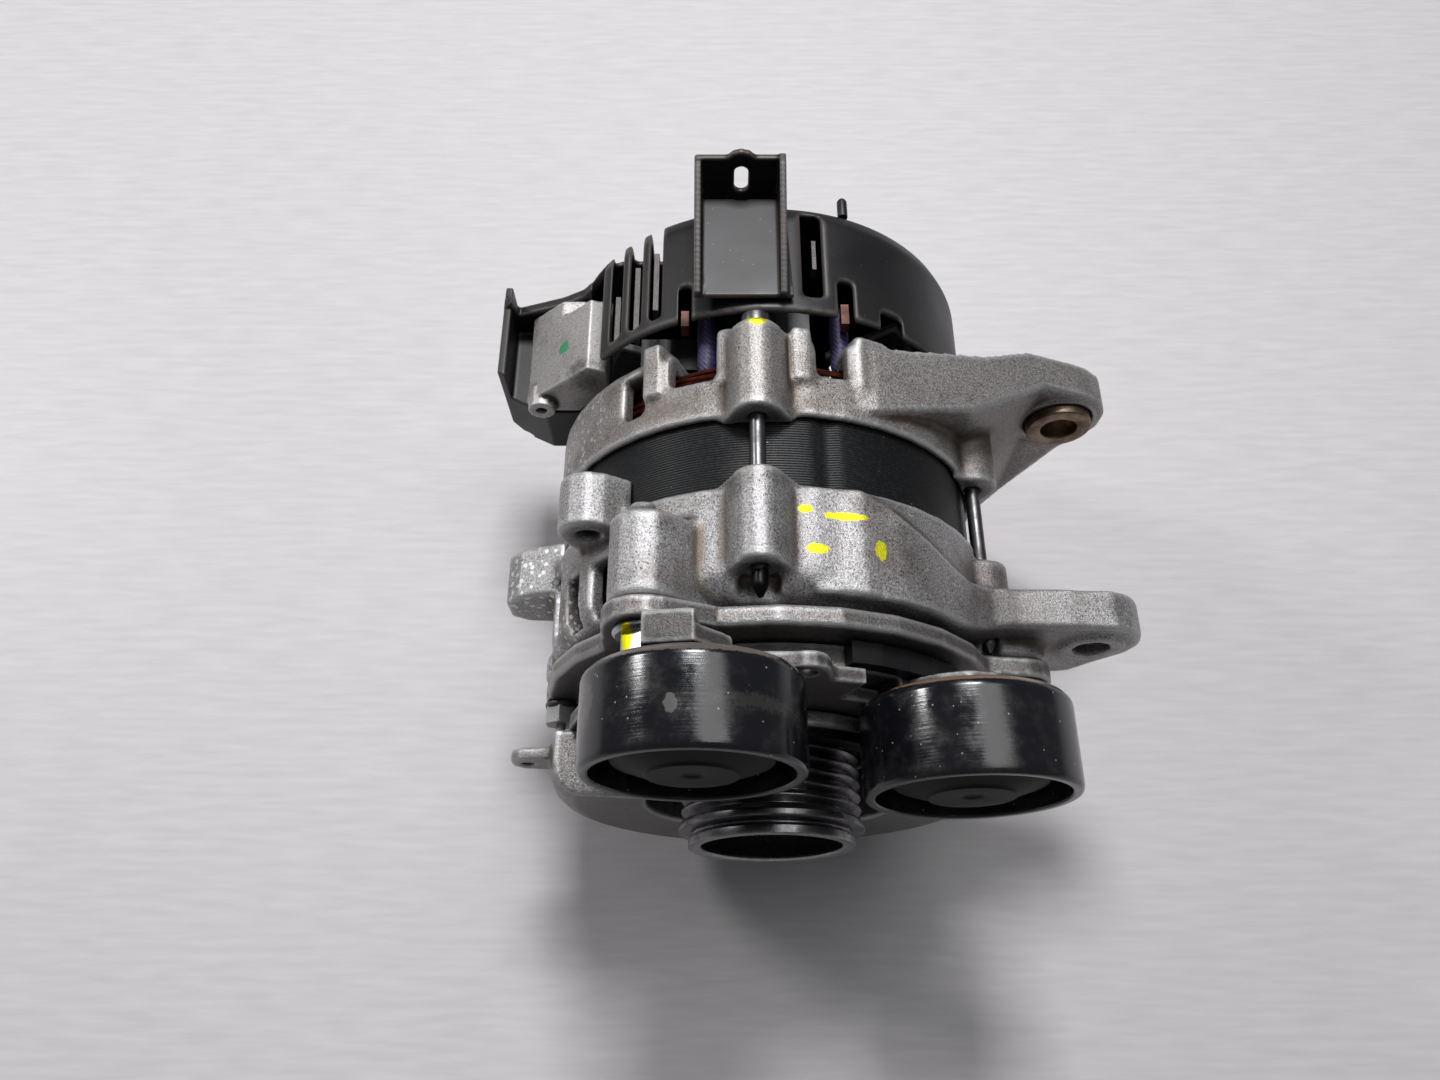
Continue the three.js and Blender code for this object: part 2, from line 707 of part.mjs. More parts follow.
piece("drive_end_bracket", driveEndBracket(), castAluminium);
piece("stator_core", statorCore(), blackSteel);
piece("stator_winding_front", winding(65, coreFront - gap), copper);
piece("stator_winding_rear", winding(-124, -coreRear - gap).mirror([0, 1, 0]), copper);
piece("rear_bracket", rearBracket(), castAluminium);
throughBoltAngles.forEach((angle, i) => {
  piece("through_bolt_" + (i + 1), throughBolt(around(boltCircleR, angle)), steel);
});
piece("front_bearing", ring(8.9, 20, 46.3, 59.5, round), steel);
piece("bearing_retainer", ring(10, 24.6, 60.3, 62, round), steel);
piece("rear_bearing", ring(7.9, 16, 122, 132.2, round), steel);
const bush = ring(bushBoreR, bushOuterR, rearEyeFront - 3.5, rearEyeRear - 0.5, 20, lugRearAt);
piece("rear_mount_bush", bush, bronze);

piece("rotor_shaft", rotorShaft(), steel);
piece("claw_pole_front", clawPole(71, 83, 107, 0), darkAluminium);
piece("claw_pole_rear", clawPole(107.3, 119.3, 83.4, 30), darkAluminium);
piece("field_coil", ring(16, 35.6, 84, 106.5, round), copper);
piece("front_fan", fan(69.1, 70.6, 62.6, 69.3), steel);
piece("rear_fan", fan(119.7, 121.1, 121, 126.2), steel);
piece("slip_ring_sleeve", slipRings(), copper);
piece("pulley_hub", pulleyHub(), steel);
piece("overrunning_clutch", ring(17.9, 20.2, 12, 32, round), blackSteel);
piece("pulley_sleeve", pulleySleeve(), steel);

piece("brush_holder", brushHolder(), blackPlastic);
[146, 154].forEach((y, i) => {
  piece("brush_" + (i + 1), box(-3, 3, y - 2.5, y + 2.5, 9.4, 26), carbon);
  piece("brush_spring_" + (i + 1), helixSpring(0, y, 26.8, 40.2, 1.8, 0.35, 4), steel);
});
piece("rectifier_plate_negative", rectifierPlate(140.4, 143.4, 56), darkAluminium);
piece("rectifier_plate_positive", rectifierPlate(160, 163, 54), darkAluminium);
diodeAngles.forEach((angle, i) => {
  piece("diode_" + (i + 1), rod(6, 143.8, 159.6, around(42, angle), 16), steel);
});
phaseSleevesAt.forEach((at, i) => {
  piece("phase_sleeve_" + (i + 1), rod(2.5, 128.5, 152, at, 10), navySleeve);
});
piece("positive_terminal_stud", rod(3.9, 163.4, 190, [34, -22], 14), brightZinc);
piece("positive_terminal_nut", ring(5, 7, 184.4, 188.6, 6, [34, -22]), brightZinc);
piece("rear_cover", rearCover(), blackPlastic);
piece("terminal_guard", terminalGuard(), blackPlastic);
piece("connector_housing", connectorHousing(), blackPlastic);
piece("regulator_heat_sink", heatSinkBlock(), castAluminium);

piece("tensioner_base", tensionerBase(), castAluminium);
mountBoltsAt.forEach((at, i) => {
  piece("tensioner_bolt_" + (i + 1), i === 1 ? studdedBolt(at) : tensionerBolt(at, 6.4, 8.2), brightZinc);
});
piece("tensioner_retaining_ring", ring(30.4, 36, tubeFront - 2.4, tubeFront - 0.3), steel);
piece("tensioner_spring_housing", springHousing(), castAluminium);
piece("tensioner_carrier", tensionerCarrier(), castAluminium);
piece("tensioner_arm", tensionerArm(), darkAluminium);
piece("arc_spring", arcSpring(114, 266), steel);
piece("damping_band", sector(57, 61.5, 18, 60, 36.6, 42.6), blackPlastic);
[["left", idlerLeftAt], ["right", idlerRightAt]].forEach(([side, at]) => {
  piece("idler_tyre_" + side, idlerTyre(at), idlerPlastic);
  piece("idler_bearing_" + side, ring(4.5, 17.4, 13.5, 27.4, 30, at), steel);
  piece("idler_cap_" + side, idlerCap(at), blackPlastic);
  piece("idler_bolt_" + side, idlerBolt(at), steel);
});

export default alternator;
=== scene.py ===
import json
import math

import bmesh
import bpy
import numpy as np
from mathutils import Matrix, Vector


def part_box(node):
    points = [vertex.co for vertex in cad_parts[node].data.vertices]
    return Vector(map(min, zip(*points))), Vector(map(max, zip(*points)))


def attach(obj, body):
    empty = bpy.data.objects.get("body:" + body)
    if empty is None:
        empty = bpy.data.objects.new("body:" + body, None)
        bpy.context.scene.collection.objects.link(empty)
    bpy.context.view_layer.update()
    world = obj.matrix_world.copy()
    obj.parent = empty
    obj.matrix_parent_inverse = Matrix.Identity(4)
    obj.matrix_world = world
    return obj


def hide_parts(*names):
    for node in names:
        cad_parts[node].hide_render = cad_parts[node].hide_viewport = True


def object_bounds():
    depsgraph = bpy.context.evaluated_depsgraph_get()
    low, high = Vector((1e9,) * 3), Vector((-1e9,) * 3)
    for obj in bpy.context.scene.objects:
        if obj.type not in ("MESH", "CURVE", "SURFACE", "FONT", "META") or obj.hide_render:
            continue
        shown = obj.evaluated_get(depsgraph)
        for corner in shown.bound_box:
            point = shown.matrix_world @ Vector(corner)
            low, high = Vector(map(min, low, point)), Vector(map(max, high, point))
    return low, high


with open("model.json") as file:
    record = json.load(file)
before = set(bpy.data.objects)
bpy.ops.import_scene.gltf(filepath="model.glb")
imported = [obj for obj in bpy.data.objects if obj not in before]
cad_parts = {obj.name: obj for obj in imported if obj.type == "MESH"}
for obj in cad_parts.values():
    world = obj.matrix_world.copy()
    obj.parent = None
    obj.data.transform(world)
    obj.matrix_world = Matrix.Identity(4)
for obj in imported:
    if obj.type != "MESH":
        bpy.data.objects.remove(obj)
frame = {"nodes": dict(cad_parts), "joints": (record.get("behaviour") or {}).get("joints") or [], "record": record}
cadLow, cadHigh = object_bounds()
print("frame loaded:", len(frame["nodes"]), "nodes")

mm = 0.001
jointAt = {joint["name"]: Vector(joint["pos_m"]) for joint in frame["joints"] if "pos_m" in joint}
slotOf = {row["node"]: row["material_slot"] for row in frame["record"]["subparts"]}
bodyOf = {node: body for body, nodes in frame["record"]["behaviour"]["bodies"].items() for node in nodes}
shaft = jointAt["rotor_spin"]
nose = Vector((shaft.x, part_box("pulley_sleeve")[0].y, shaft.z))  # middle of the pulley's front face


def place(x, y, z):  # millimetres from the nose: right, back, up
    return nose + Vector((x, y, z)) * mm


def around(radius, degrees):  # a point on a circle round the shaft, from straight up towards +X
    angle = math.radians(degrees)
    return radius * math.sin(angle), radius * math.cos(angle)


def linear(hexColour, alpha=1.0):
    parts = [int(hexColour[i:i + 2], 16) / 255 for i in (1, 3, 5)]
    return tuple(p / 12.92 if p <= 0.04045 else ((p + 0.055) / 1.055) ** 2.4 for p in parts) + (alpha,)


def addNode(tree, kind, settings=None, inputs=None):  # inputs: socket name or number -> value or another output
    node = tree.nodes.new(kind)
    for name, value in (settings or {}).items():
        setattr(node, name, value)
    for key, value in (inputs or {}).items():
        if isinstance(value, bpy.types.NodeSocket):
            tree.links.new(value, node.inputs[key])
        else:
            node.inputs[key].default_value = value
    return node


def perMetre(millimetres):  # texture scale whose pattern repeats about every so many millimetres
    return 1 / (millimetres * mm)


def newMaterial(name, **shaderInputs):
    made = bpy.data.materials.new(name)
    made.use_nodes = True
    tree = made.node_tree
    tree.nodes.clear()
    output = addNode(tree, "ShaderNodeOutputMaterial")
    shader = addNode(
        tree, "ShaderNodeBsdfPrincipled", inputs={k.replace("_", " "): v for k, v in shaderInputs.items()})
    tree.links.new(shader.outputs[0], output.inputs["Surface"])
    coords = addNode(tree, "ShaderNodeTexCoord").outputs["Object"]
    return made, tree, shader, coords


def patch(tree, coords, centre, size, rough=0.35, grainMm=2.0, soft=0.14):  # ragged mask round a spot, 1 inside
    wobble = addNode(
        tree, "ShaderNodeTexNoise", inputs={"Vector": coords, "Scale": perMetre(grainMm), "Detail": 3.0})
    offset = addNode(tree, "ShaderNodeVectorMath", {"operation": "SUBTRACT"}, {0: coords, 1: centre})
    shrunk = addNode(tree, "ShaderNodeVectorMath", {"operation": "DIVIDE"}, {0: offset.outputs[0], 1: size})
    far = addNode(tree, "ShaderNodeVectorMath", {"operation": "LENGTH"}, {0: shrunk.outputs[0]})
    ragged = addNode(
        tree, "ShaderNodeMath", {"operation": "MULTIPLY_ADD"},
        {0: wobble.outputs[0], 1: rough, 2: far.outputs["Value"]})
    return addNode(
        tree, "ShaderNodeMapRange",
        inputs={"Value": ragged.outputs[0], "From Min": 1.05 + rough / 2, "From Max": 1.05 - soft + rough / 2}).outputs[0]


def painted(tree, base, mask, colour):
    return addNode(tree, "ShaderNodeMixRGB", inputs={"Fac": mask, "Color1": base, "Color2": colour}).outputs[0]


def marked(tree, coords, colour, marks):  # paint dabs, chips, stains, drops and patches of painted shade laid over a finish one by one
    for mark in marks:
        size = [s * mm for s in mark["size"]]
        mask = patch(
            tree, coords, place(*mark["at"]), size, mark.get("rough", 0.7), mark.get("grainMm", 1.6),
            mark.get("soft", 0.14))
        if "drops" in mark:
            cells = addNode(
                tree, "ShaderNodeTexVoronoi", inputs={"Vector": coords, "Scale": perMetre(mark["drops"])})
            dots = addNode(
                tree, "ShaderNodeMath", {"operation": "LESS_THAN"}, {0: cells.outputs["Distance"], 1: 0.3})
            mask = addNode(
                tree, "ShaderNodeMath", {"operation": "MULTIPLY"}, {0: dots.outputs[0], 1: mask}).outputs[0]
        if "share" in mark:
            mask = addNode(
                tree, "ShaderNodeMath", {"operation": "MULTIPLY"}, {0: mask, 1: mark["share"]}).outputs[0]
        colour = painted(tree, colour, mask, linear(mark["colour"]))
    return colour


castLook = {
    "base": "#737171", "pale": "#bdbbbb", "speck": "#57524d", "grimeAndShade": "#5b5046",
    "speckMm": 1.3, "gritMm": 0.55, "blotchMm": 24, "bumpMm": 0.18, "metal": 0.65, "rough": 0.4,
}


# sand cast: matt, gritty, dark in the pits, grime together with painted shade in the hollows, a painted highlight
# along raised edges
def sandCastAluminium(name, look, marks=()):
    made, tree, shader, coords = newMaterial(name, Metallic=look["metal"])
    edge = addNode(tree, "ShaderNodeAttribute", {"attribute_name": "edge"}).outputs["Fac"]
    blotch = addNode(
        tree, "ShaderNodeTexNoise",
        inputs={"Vector": coords, "Scale": perMetre(look["blotchMm"]), "Detail": 5.0, "Roughness": 0.6})
    grit = addNode(
        tree, "ShaderNodeTexNoise",
        inputs={"Vector": coords, "Scale": perMetre(look["gritMm"]), "Detail": 4.0, "Roughness": 0.65})
    pits = addNode(
        tree, "ShaderNodeTexVoronoi",
        inputs={"Vector": coords, "Scale": perMetre(look["speckMm"]), "Randomness": 1.0})
    tone = addNode(
        tree, "ShaderNodeMapRange", inputs={"Value": grit.outputs[0], "From Min": 0.38, "From Max": 0.66})
    colour = painted(tree, linear(look["base"]), tone.outputs[0], linear(look["pale"]))
    pitDepth = addNode(
        tree, "ShaderNodeMath", {"operation": "MULTIPLY_ADD"}, {0: blotch.outputs[0], 1: 0.55, 2: -0.11})
    pitMask = addNode(
        tree, "ShaderNodeMath", {"operation": "LESS_THAN"},
        {0: pits.outputs["Distance"], 1: pitDepth.outputs[0]})
    colour = painted(tree, colour, pitMask.outputs[0], linear(look["speck"]))
    grains = addNode(
        tree, "ShaderNodeTexNoise",
        inputs={"Vector": coords, "Scale": perMetre(look["speckMm"] * 0.7), "Detail": 2.0, "Roughness": 0.8})
    grainMask = addNode(
        tree, "ShaderNodeMapRange",
        inputs={"Value": grains.outputs[0], "From Min": 0.56, "From Max": 0.66, "To Max": 0.55})
    colour = painted(tree, colour, grainMask.outputs[0], linear(look["speck"]))
    # darker in the hollows: grime together with painted shade; the blotchy stains below are grime
    hollow = addNode(tree, "ShaderNodeMapRange", inputs={"Value": edge, "From Min": -0.02, "From Max": -0.55})
    stain = addNode(
        tree, "ShaderNodeMapRange",
        inputs={"Value": blotch.outputs[0], "From Min": 0.5, "From Max": 0.72, "To Max": 0.75})
    grimeAndShadeMask = addNode(
        tree, "ShaderNodeMath", {"operation": "MAXIMUM"}, {0: hollow.outputs[0], 1: stain.outputs[0]})
    colour = painted(tree, colour, grimeAndShadeMask.outputs[0], linear(look["grimeAndShade"]))
    # lighter along raised edges: a painted highlight
    paleEdges = addNode(
        tree, "ShaderNodeMapRange", inputs={"Value": edge, "From Min": 0.25, "From Max": 1.0, "To Max": 0.55})
    colour = painted(tree, colour, paleEdges.outputs[0], linear("#d0cfce"))
    colour = marked(tree, coords, colour, marks)
    tree.links.new(colour, shader.inputs["Base Color"])
    roughness = addNode(
        tree, "ShaderNodeMapRange",
        inputs={"Value": grit.outputs[0], "To Min": look["rough"] - 0.1, "To Max": look["rough"] + 0.15})
    tree.links.new(roughness.outputs[0], shader.inputs["Roughness"])
    height = addNode(
        tree, "ShaderNodeMath", {"operation": "MULTIPLY_ADD"},
        {0: pitMask.outputs[0], 1: -0.5, 2: grit.outputs[0]})
    bump = addNode(
        tree, "ShaderNodeBump",
        inputs={"Strength": 0.75, "Distance": look["bumpMm"] * mm, "Height": height.outputs[0]})
    tree.links.new(bump.outputs[0], shader.inputs["Normal"])
    return made


# lathe-turned: fine rings round the part's own axis
def turnedSteel(name, base, dark, roughness=0.34, metal=1.0, grooveMm=0.35, rustMm=9, marks=()):
    made, tree, shader, coords = newMaterial(name, Metallic=metal)
    split = addNode(tree, "ShaderNodeSeparateXYZ", inputs={0: coords})
    along = addNode(
        tree, "ShaderNodeTexNoise", {"noise_dimensions": "1D"},
        {"W": split.outputs["Y"], "Scale": perMetre(grooveMm), "Detail": 2.0})
    cloud = addNode(
        tree, "ShaderNodeTexNoise",
        inputs={"Vector": coords, "Scale": perMetre(rustMm), "Detail": 6.0, "Roughness": 0.65})
    film = addNode(
        tree, "ShaderNodeMapRange", inputs={"Value": cloud.outputs[0], "From Min": 0.42, "From Max": 0.66})
    colour = painted(tree, linear(base), film.outputs[0], linear(dark))
    tree.links.new(marked(tree, coords, colour, marks), shader.inputs["Base Color"])
    rough = addNode(
        tree, "ShaderNodeMapRange",
        inputs={"Value": cloud.outputs[0], "From Min": 0.3, "From Max": 0.7, "To Min": roughness - 0.08, "To Max": roughness + 0.2})
    tree.links.new(rough.outputs[0], shader.inputs["Roughness"])
    bump = addNode(
        tree, "ShaderNodeBump", inputs={"Strength": 0.35, "Distance": 0.03 * mm, "Height": along.outputs[0]})
    tree.links.new(bump.outputs[0], shader.inputs["Normal"])
    return made


# glass-filled: satin black, faint flow marks, dust in the grain
def mouldedPlastic(
    name, base, worn, roughness=0.42, grainMm=0.5, dust="#6b655e", dustShare=0.3, marks=(), sheen=0.5):
    made, tree, shader, coords = newMaterial(name, IOR=1.46, Specular_IOR_Level=sheen)
    edge = addNode(tree, "ShaderNodeAttribute", {"attribute_name": "edge"}).outputs["Fac"]
    flow = addNode(
        tree, "ShaderNodeTexNoise",
        inputs={"Vector": coords, "Scale": perMetre(22), "Detail": 5.0, "Distortion": 0.6})
    grain = addNode(
        tree, "ShaderNodeTexNoise", inputs={"Vector": coords, "Scale": perMetre(grainMm), "Detail": 3.0})
    tone = addNode(
        tree, "ShaderNodeMapRange", inputs={"Value": flow.outputs[0], "From Min": 0.35, "From Max": 0.7})
    colour = painted(tree, linear(base), tone.outputs[0], linear(worn))
    paleEdges = addNode(
        tree, "ShaderNodeMapRange", inputs={"Value": edge, "From Min": 0.3, "From Max": 1.0, "To Max": 0.4})
    colour = painted(tree, colour, paleEdges.outputs[0], linear(dust))
    speck = addNode(tree, "ShaderNodeTexVoronoi", inputs={"Vector": coords, "Scale": perMetre(3.5)})
    near = addNode(tree, "ShaderNodeMath", {"operation": "LESS_THAN"}, {0: speck.outputs["Distance"], 1: 0.07})
    dusty = addNode(tree, "ShaderNodeMath", {"operation": "MULTIPLY"}, {0: near.outputs[0], 1: dustShare})
    colour = painted(tree, colour, dusty.outputs[0], linear(dust))
    tree.links.new(marked(tree, coords, colour, marks), shader.inputs["Base Color"])
    rough = addNode(
        tree, "ShaderNodeMapRange",
        inputs={"Value": flow.outputs[0], "To Min": roughness - 0.08, "To Max": roughness + 0.14})
    tree.links.new(rough.outputs[0], shader.inputs["Roughness"])
    bump = addNode(
        tree, "ShaderNodeBump", inputs={"Strength": 0.3, "Distance": 0.05 * mm, "Height": grain.outputs[0]})
    tree.links.new(bump.outputs[0], shader.inputs["Normal"])
    return made


def wornIdler(name, marks=()):  # hard black plastic polished by a belt: glossy, scratched round, dusty flecks
    made, tree, shader, coords = newMaterial(name, IOR=1.55)
    split = addNode(tree, "ShaderNodeSeparateXYZ", inputs={0: coords})
    scratch = addNode(
        tree, "ShaderNodeTexNoise", {"noise_dimensions": "1D"},
        {"W": split.outputs["Y"], "Scale": perMetre(0.7), "Detail": 3.0})
    cloud = addNode(
        tree, "ShaderNodeTexNoise",
        inputs={"Vector": coords, "Scale": perMetre(7), "Detail": 6.0, "Roughness": 0.7})
    flecks = addNode(tree, "ShaderNodeTexVoronoi", inputs={"Vector": coords, "Scale": perMetre(3.2)})
    smear = addNode(
        tree, "ShaderNodeMapRange",
        inputs={"Value": cloud.outputs[0], "From Min": 0.5, "From Max": 0.78, "To Max": 0.5})
    colour = painted(tree, linear("#0f0f14"), smear.outputs[0], linear("#35312e"))
    fleckMask = addNode(
        tree, "ShaderNodeMath", {"operation": "LESS_THAN"}, {0: flecks.outputs["Distance"], 1: 0.075})
    colour = painted(tree, colour, fleckMask.outputs[0], linear("#8d857c"))
    tree.links.new(marked(tree, coords, colour, marks), shader.inputs["Base Color"])
    rough = addNode(
        tree, "ShaderNodeMapRange",
        inputs={"Value": cloud.outputs[0], "From Min": 0.35, "From Max": 0.75, "To Min": 0.1, "To Max": 0.34})
    tree.links.new(rough.outputs[0], shader.inputs["Roughness"])
    dents = addNode(
        tree, "ShaderNodeMath", {"operation": "MULTIPLY_ADD"},
        {0: cloud.outputs[0], 1: 2.5, 2: scratch.outputs[0]})
    bump = addNode(
        tree, "ShaderNodeBump", inputs={"Strength": 0.3, "Distance": 0.06 * mm, "Height": dents.outputs[0]})
    tree.links.new(bump.outputs[0], shader.inputs["Normal"])
    return made


def lacqueredIron(name):  # stamped sheets dipped in black lacquer: semi-gloss, rubbed through in spots
    made, tree, shader, coords = newMaterial(name, Metallic=0.35)
    grain = addNode(
        tree, "ShaderNodeTexNoise",
        inputs={"Vector": coords, "Scale": perMetre(1.1), "Detail": 4.0, "Roughness": 0.7})
    cloud = addNode(tree, "ShaderNodeTexNoise", inputs={"Vector": coords, "Scale": perMetre(18), "Detail": 6.0})
    chips = addNode(tree, "ShaderNodeTexVoronoi", inputs={"Vector": coords, "Scale": perMetre(4)})
    sheen = addNode(
        tree, "ShaderNodeMapRange", inputs={"Value": grain.outputs[0], "From Min": 0.5, "From Max": 0.75})
    colour = painted(tree, linear("#101112"), sheen.outputs[0], linear("#26282b"))
    brown = addNode(
        tree, "ShaderNodeMapRange",
        inputs={"Value": cloud.outputs[0], "From Min": 0.58, "From Max": 0.75, "To Max": 0.6})
    colour = painted(tree, colour, brown.outputs[0], linear("#37302a"))
    chipMask = addNode(
        tree, "ShaderNodeMath", {"operation": "LESS_THAN"}, {0: chips.outputs["Distance"], 1: 0.05})
    colour = painted(tree, colour, chipMask.outputs[0], linear("#8b8a86"))
    tree.links.new(colour, shader.inputs["Base Color"])
    rough = addNode(
        tree, "ShaderNodeMapRange", inputs={"Value": grain.outputs[0], "To Min": 0.26, "To Max": 0.6})
    tree.links.new(rough.outputs[0], shader.inputs["Roughness"])
    bump = addNode(
        tree, "ShaderNodeBump", inputs={"Strength": 0.5, "Distance": 0.08 * mm, "Height": grain.outputs[0]})
    tree.links.new(bump.outputs[0], shader.inputs["Normal"])
    return made


def enamelCopper(name):  # enamelled wire: amber varnish over copper, sooty in patches
    made, tree, shader, coords = newMaterial(name, Metallic=0.8, Roughness=0.32)
    cloud = addNode(tree, "ShaderNodeTexNoise", inputs={"Vector": coords, "Scale": perMetre(4), "Detail": 4.0})
    tone = addNode(
        tree, "ShaderNodeMapRange", inputs={"Value": cloud.outputs[0], "From Min": 0.35, "From Max": 0.65})
    tree.links.new(
        painted(tree, linear("#7c3a27"), tone.outputs[0], linear("#3a1a14")), shader.inputs["Base Color"])
    return made


def wovenSleeve(name):  # braided glass sleeve, varnished navy: a fine cross weave
    made, tree, shader, coords = newMaterial(name, Roughness=0.55)
    weave = addNode(
        tree, "ShaderNodeTexWave", {"bands_direction": "DIAGONAL"},
        {"Vector": coords, "Scale": perMetre(3.0), "Distortion": 1.0})
    tree.links.new(
        painted(tree, linear("#20254d"), weave.outputs["Fac"], linear("#3c2f4a")), shader.inputs["Base Color"])
    bump = addNode(
        tree, "ShaderNodeBump",
        inputs={"Strength": 0.5, "Distance": 0.15 * mm, "Height": weave.outputs["Fac"]})
    tree.links.new(bump.outputs[0], shader.inputs["Normal"])
    return made


paint = {"colour": "#d9d21a", "rough": 0.9, "grainMm": 1.1}
marksOnBracket = [
    # soft darker patch on the lower side of the right arm: painted shade
    {"at": (64, 60, 30), "size": (32, 22, 22), "colour": "#57504a", "soft": 0.7, "share": 0.55},
    {"at": (-30, 58, 50), "size": (26, 9, 20), "colour": "#5f574f", "soft": 0.7, "share": 0.5},
    {"at": (-72, 82, 16), "size": (14, 16, 24), "colour": "#e4e6e8", "drops": 2.6, "share": 0.7},
    {"at": (-62, 60, 22), "size": (16, 16, 22), "colour": "#d9dbdd", "drops": 2.2, "share": 0.6},
    {"at": (10.5, 65, 65.5), "size": (3.0, 1.5, 6), **paint},
    {"at": (27.5, 66, 61), "size": (1.7, 2.9, 6), **paint},
    {"at": (7.5, 76.5, 66), "size": (2.0, 1.3, 6), **paint},
    {"at": (18, 75, 64), "size": (6.5, 1.2, 6), **paint},
]
marksOnRear = [
    # soft darker patch under the rear arm: partly grime, partly painted shade
    {"at": (66, 118, 18), "size": (48, 17, 30), "colour": "#4f4740", "soft": 0.8, "share": 0.75},
    {"at": (-30, 112, 56), "size": (34, 6, 20), "colour": "#5a5148", "soft": 0.8, "share": 0.6},
    {"at": (-58, 118, 34), "size": (12, 14, 18), "colour": "#d4d6d8", "drops": 2.4, "share": 0.5},
    {"at": (-4.8, 132.5, 72), "size": (3.6, 3.4, 5), **paint},
]
marksOnBlock = [
    {"at": (-66, 155, 26), "size": (2.0, 2.4, 9), "colour": "#4f9e70"},
    {"at": (-58, 144, 30), "size": (7, 4, 9), "colour": "#4c4640", "soft": 0.5, "share": 0.8},
]
pulleyMarks = [{"at": (0, -1, 0), "size": (26, 3.6, 26), "colour": "#aaa9ab", "rough": 0.15, "soft": 0.2}]
marksOnZinc = [{"at": (-38.5, 40.5, 68), "size": (1.5, 4.5, 4), **paint}]
marksOnRod = [{"at": (-4.7, 53, 67.7), "size": (6, 5.5, 6), "colour": "#1f1e1e"}]
marksOnCaps = [
    {
        "at": (-21.6, 5.6, 63.9), "size": (12.4, 2.5, 12.4), "colour": "#1b1a1a", "rough": 0.1, "soft": 0.05,
        "share": 0.8},
    {
        "at": (50.2, 5.6, 41), "size": (12.4, 2.5, 12.4), "colour": "#1b1a1a", "rough": 0.1, "soft": 0.05,
        "share": 0.8},
]
rearLook = {**castLook, "base": "#716d6a", "pale": "#b0aca9", "grimeAndShade": "#50463d", "speck": "#57514c"}
plateLook = {
    **castLook, "base": "#5c5957", "pale": "#8a8785", "speck": "#433f3b", "rough": 0.34, "blotchMm": 18}
oilyLook = {
    **castLook, "base": "#3f3b39", "pale": "#625d5a", "grimeAndShade": "#2f2925", "speck": "#38332f", "rough": 0.36,
    "blotchMm": 14, "metal": 0.3}
darkLook = {
    **castLook, "base": "#403d3b", "pale": "#5f5b57", "grimeAndShade": "#27221e", "speck": "#22201e", "rough": 0.36,
    "metal": 0.3}
blockLook = {**castLook, "base": "#9c9896", "pale": "#bdbab8", "speck": "#77716b"}

finishes = {
    "bracketFront": sandCastAluminium("sandCastAluminiumFront", castLook, marksOnBracket),
    "bracketRear": sandCastAluminium("sandCastAluminiumRear", rearLook, marksOnRear),
    "block": sandCastAluminium("pressureCastBlock", blockLook, marksOnBlock),
    "tensioner": sandCastAluminium("wornCastPlate", plateLook),
    "carrier": sandCastAluminium("oilyCastAluminium", oilyLook),
    "arm": sandCastAluminium("darkCastArm", darkLook),
    "stator": lacqueredIron("lacqueredLaminations"),
    "cover": mouldedPlastic("glassFilledCover", "#0d0d0f", "#171516", 0.42),
    "guard": mouldedPlastic("glassFilledGuard", "#0e0c0c", "#1d1918", 0.4, 0.45, "#7d736c", 0.6),
    "connector": mouldedPlastic("glassFilledConnector", "#0f0e0f", "#191717", 0.42),
    "cap": mouldedPlastic("pressedDustCap", "#030303", "#070606", 0.55, 0.6, "#35322f", 0.3, marksOnCaps, 0.2),
    "band": mouldedPlastic("dampingBand", "#0e0e10", "#181719", 0.32),
    "idlerLeft": wornIdler("wornIdlerLeft", [
        {"at": (-49.3, 19, 66), "size": (2.4, 4.2, 5), "colour": "#8f6f60"},
        {"at": (-21, 29.4, 91), "size": (30, 1.3, 14), "colour": "#5f5852", "share": 0.8},
        {"at": (-46.5, 20, 76), "size": (3, 5.5, 5), "colour": "#3f3a36", "rough": 1.4},
        {
            "at": (-8, 17, 86), "size": (16, 2.2, 12), "colour": "#403d3b", "rough": 1.9, "grainMm": 0.9,
            "soft": 0.6, "share": 0.45},
        {"at": (-26, 15.5, 91), "size": (1.6, 2.2, 5), "colour": "#5b5855", "rough": 1.2},
    ]),
    "idlerRight": wornIdler(
        "wornIdlerRight", [{"at": (50, 29.8, 66), "size": (30, 0.9, 12), "colour": "#6b5443"}]),
    "pulley": turnedSteel("phosphatedPulleySteel", "#747274", "#3e3b3e", 0.27, marks=pulleyMarks),
    "hub": turnedSteel("blackenedHub", "#1d1c1e", "#111012", 0.45),
    "steel": turnedSteel("turnedSteel", "#86868a", "#565454", 0.34),
    "boltSteel": turnedSteel("drawnSteelRod", "#737376", "#4f4c4a", 0.3, marks=marksOnRod),
    "zinc": turnedSteel("brightZincPlate", "#c3c6ca", "#8f8f8c", 0.26, grooveMm=0.9, marks=marksOnZinc),
    "bronze": turnedSteel("oiledBronzeBush", "#8f7d6a", "#5b4b3d", 0.36),
    "copper": enamelCopper("enamelledCopper"),
    "bronzeLug": turnedSteel("tarnishedCopperLug", "#5f311e", "#341a11", 0.5, 0.3),
    "sleeve": wovenSleeve("varnishedSleeve"),
    "carbon": mouldedPlastic("pressedCarbon", "#222224", "#353538", 0.6, 0.8),
}
slotFinish = {
    "cast_aluminium": "tensioner", "dark_metal": "arm", "lacquered_steel": "stator", "bright_zinc": "zinc",
    "black_plastic": "cover", "idler_plastic": "cap", "copper_wire": "copper", "bronze_bush": "bronze",
    "navy_sleeve": "sleeve", "carbon": "carbon", "plain_steel": "steel",
}
print("materials made:", len(finishes))

def link(name, mesh):
    made = bpy.data.objects.new(name, mesh)
    bpy.context.scene.collection.objects.link(made)
    return made


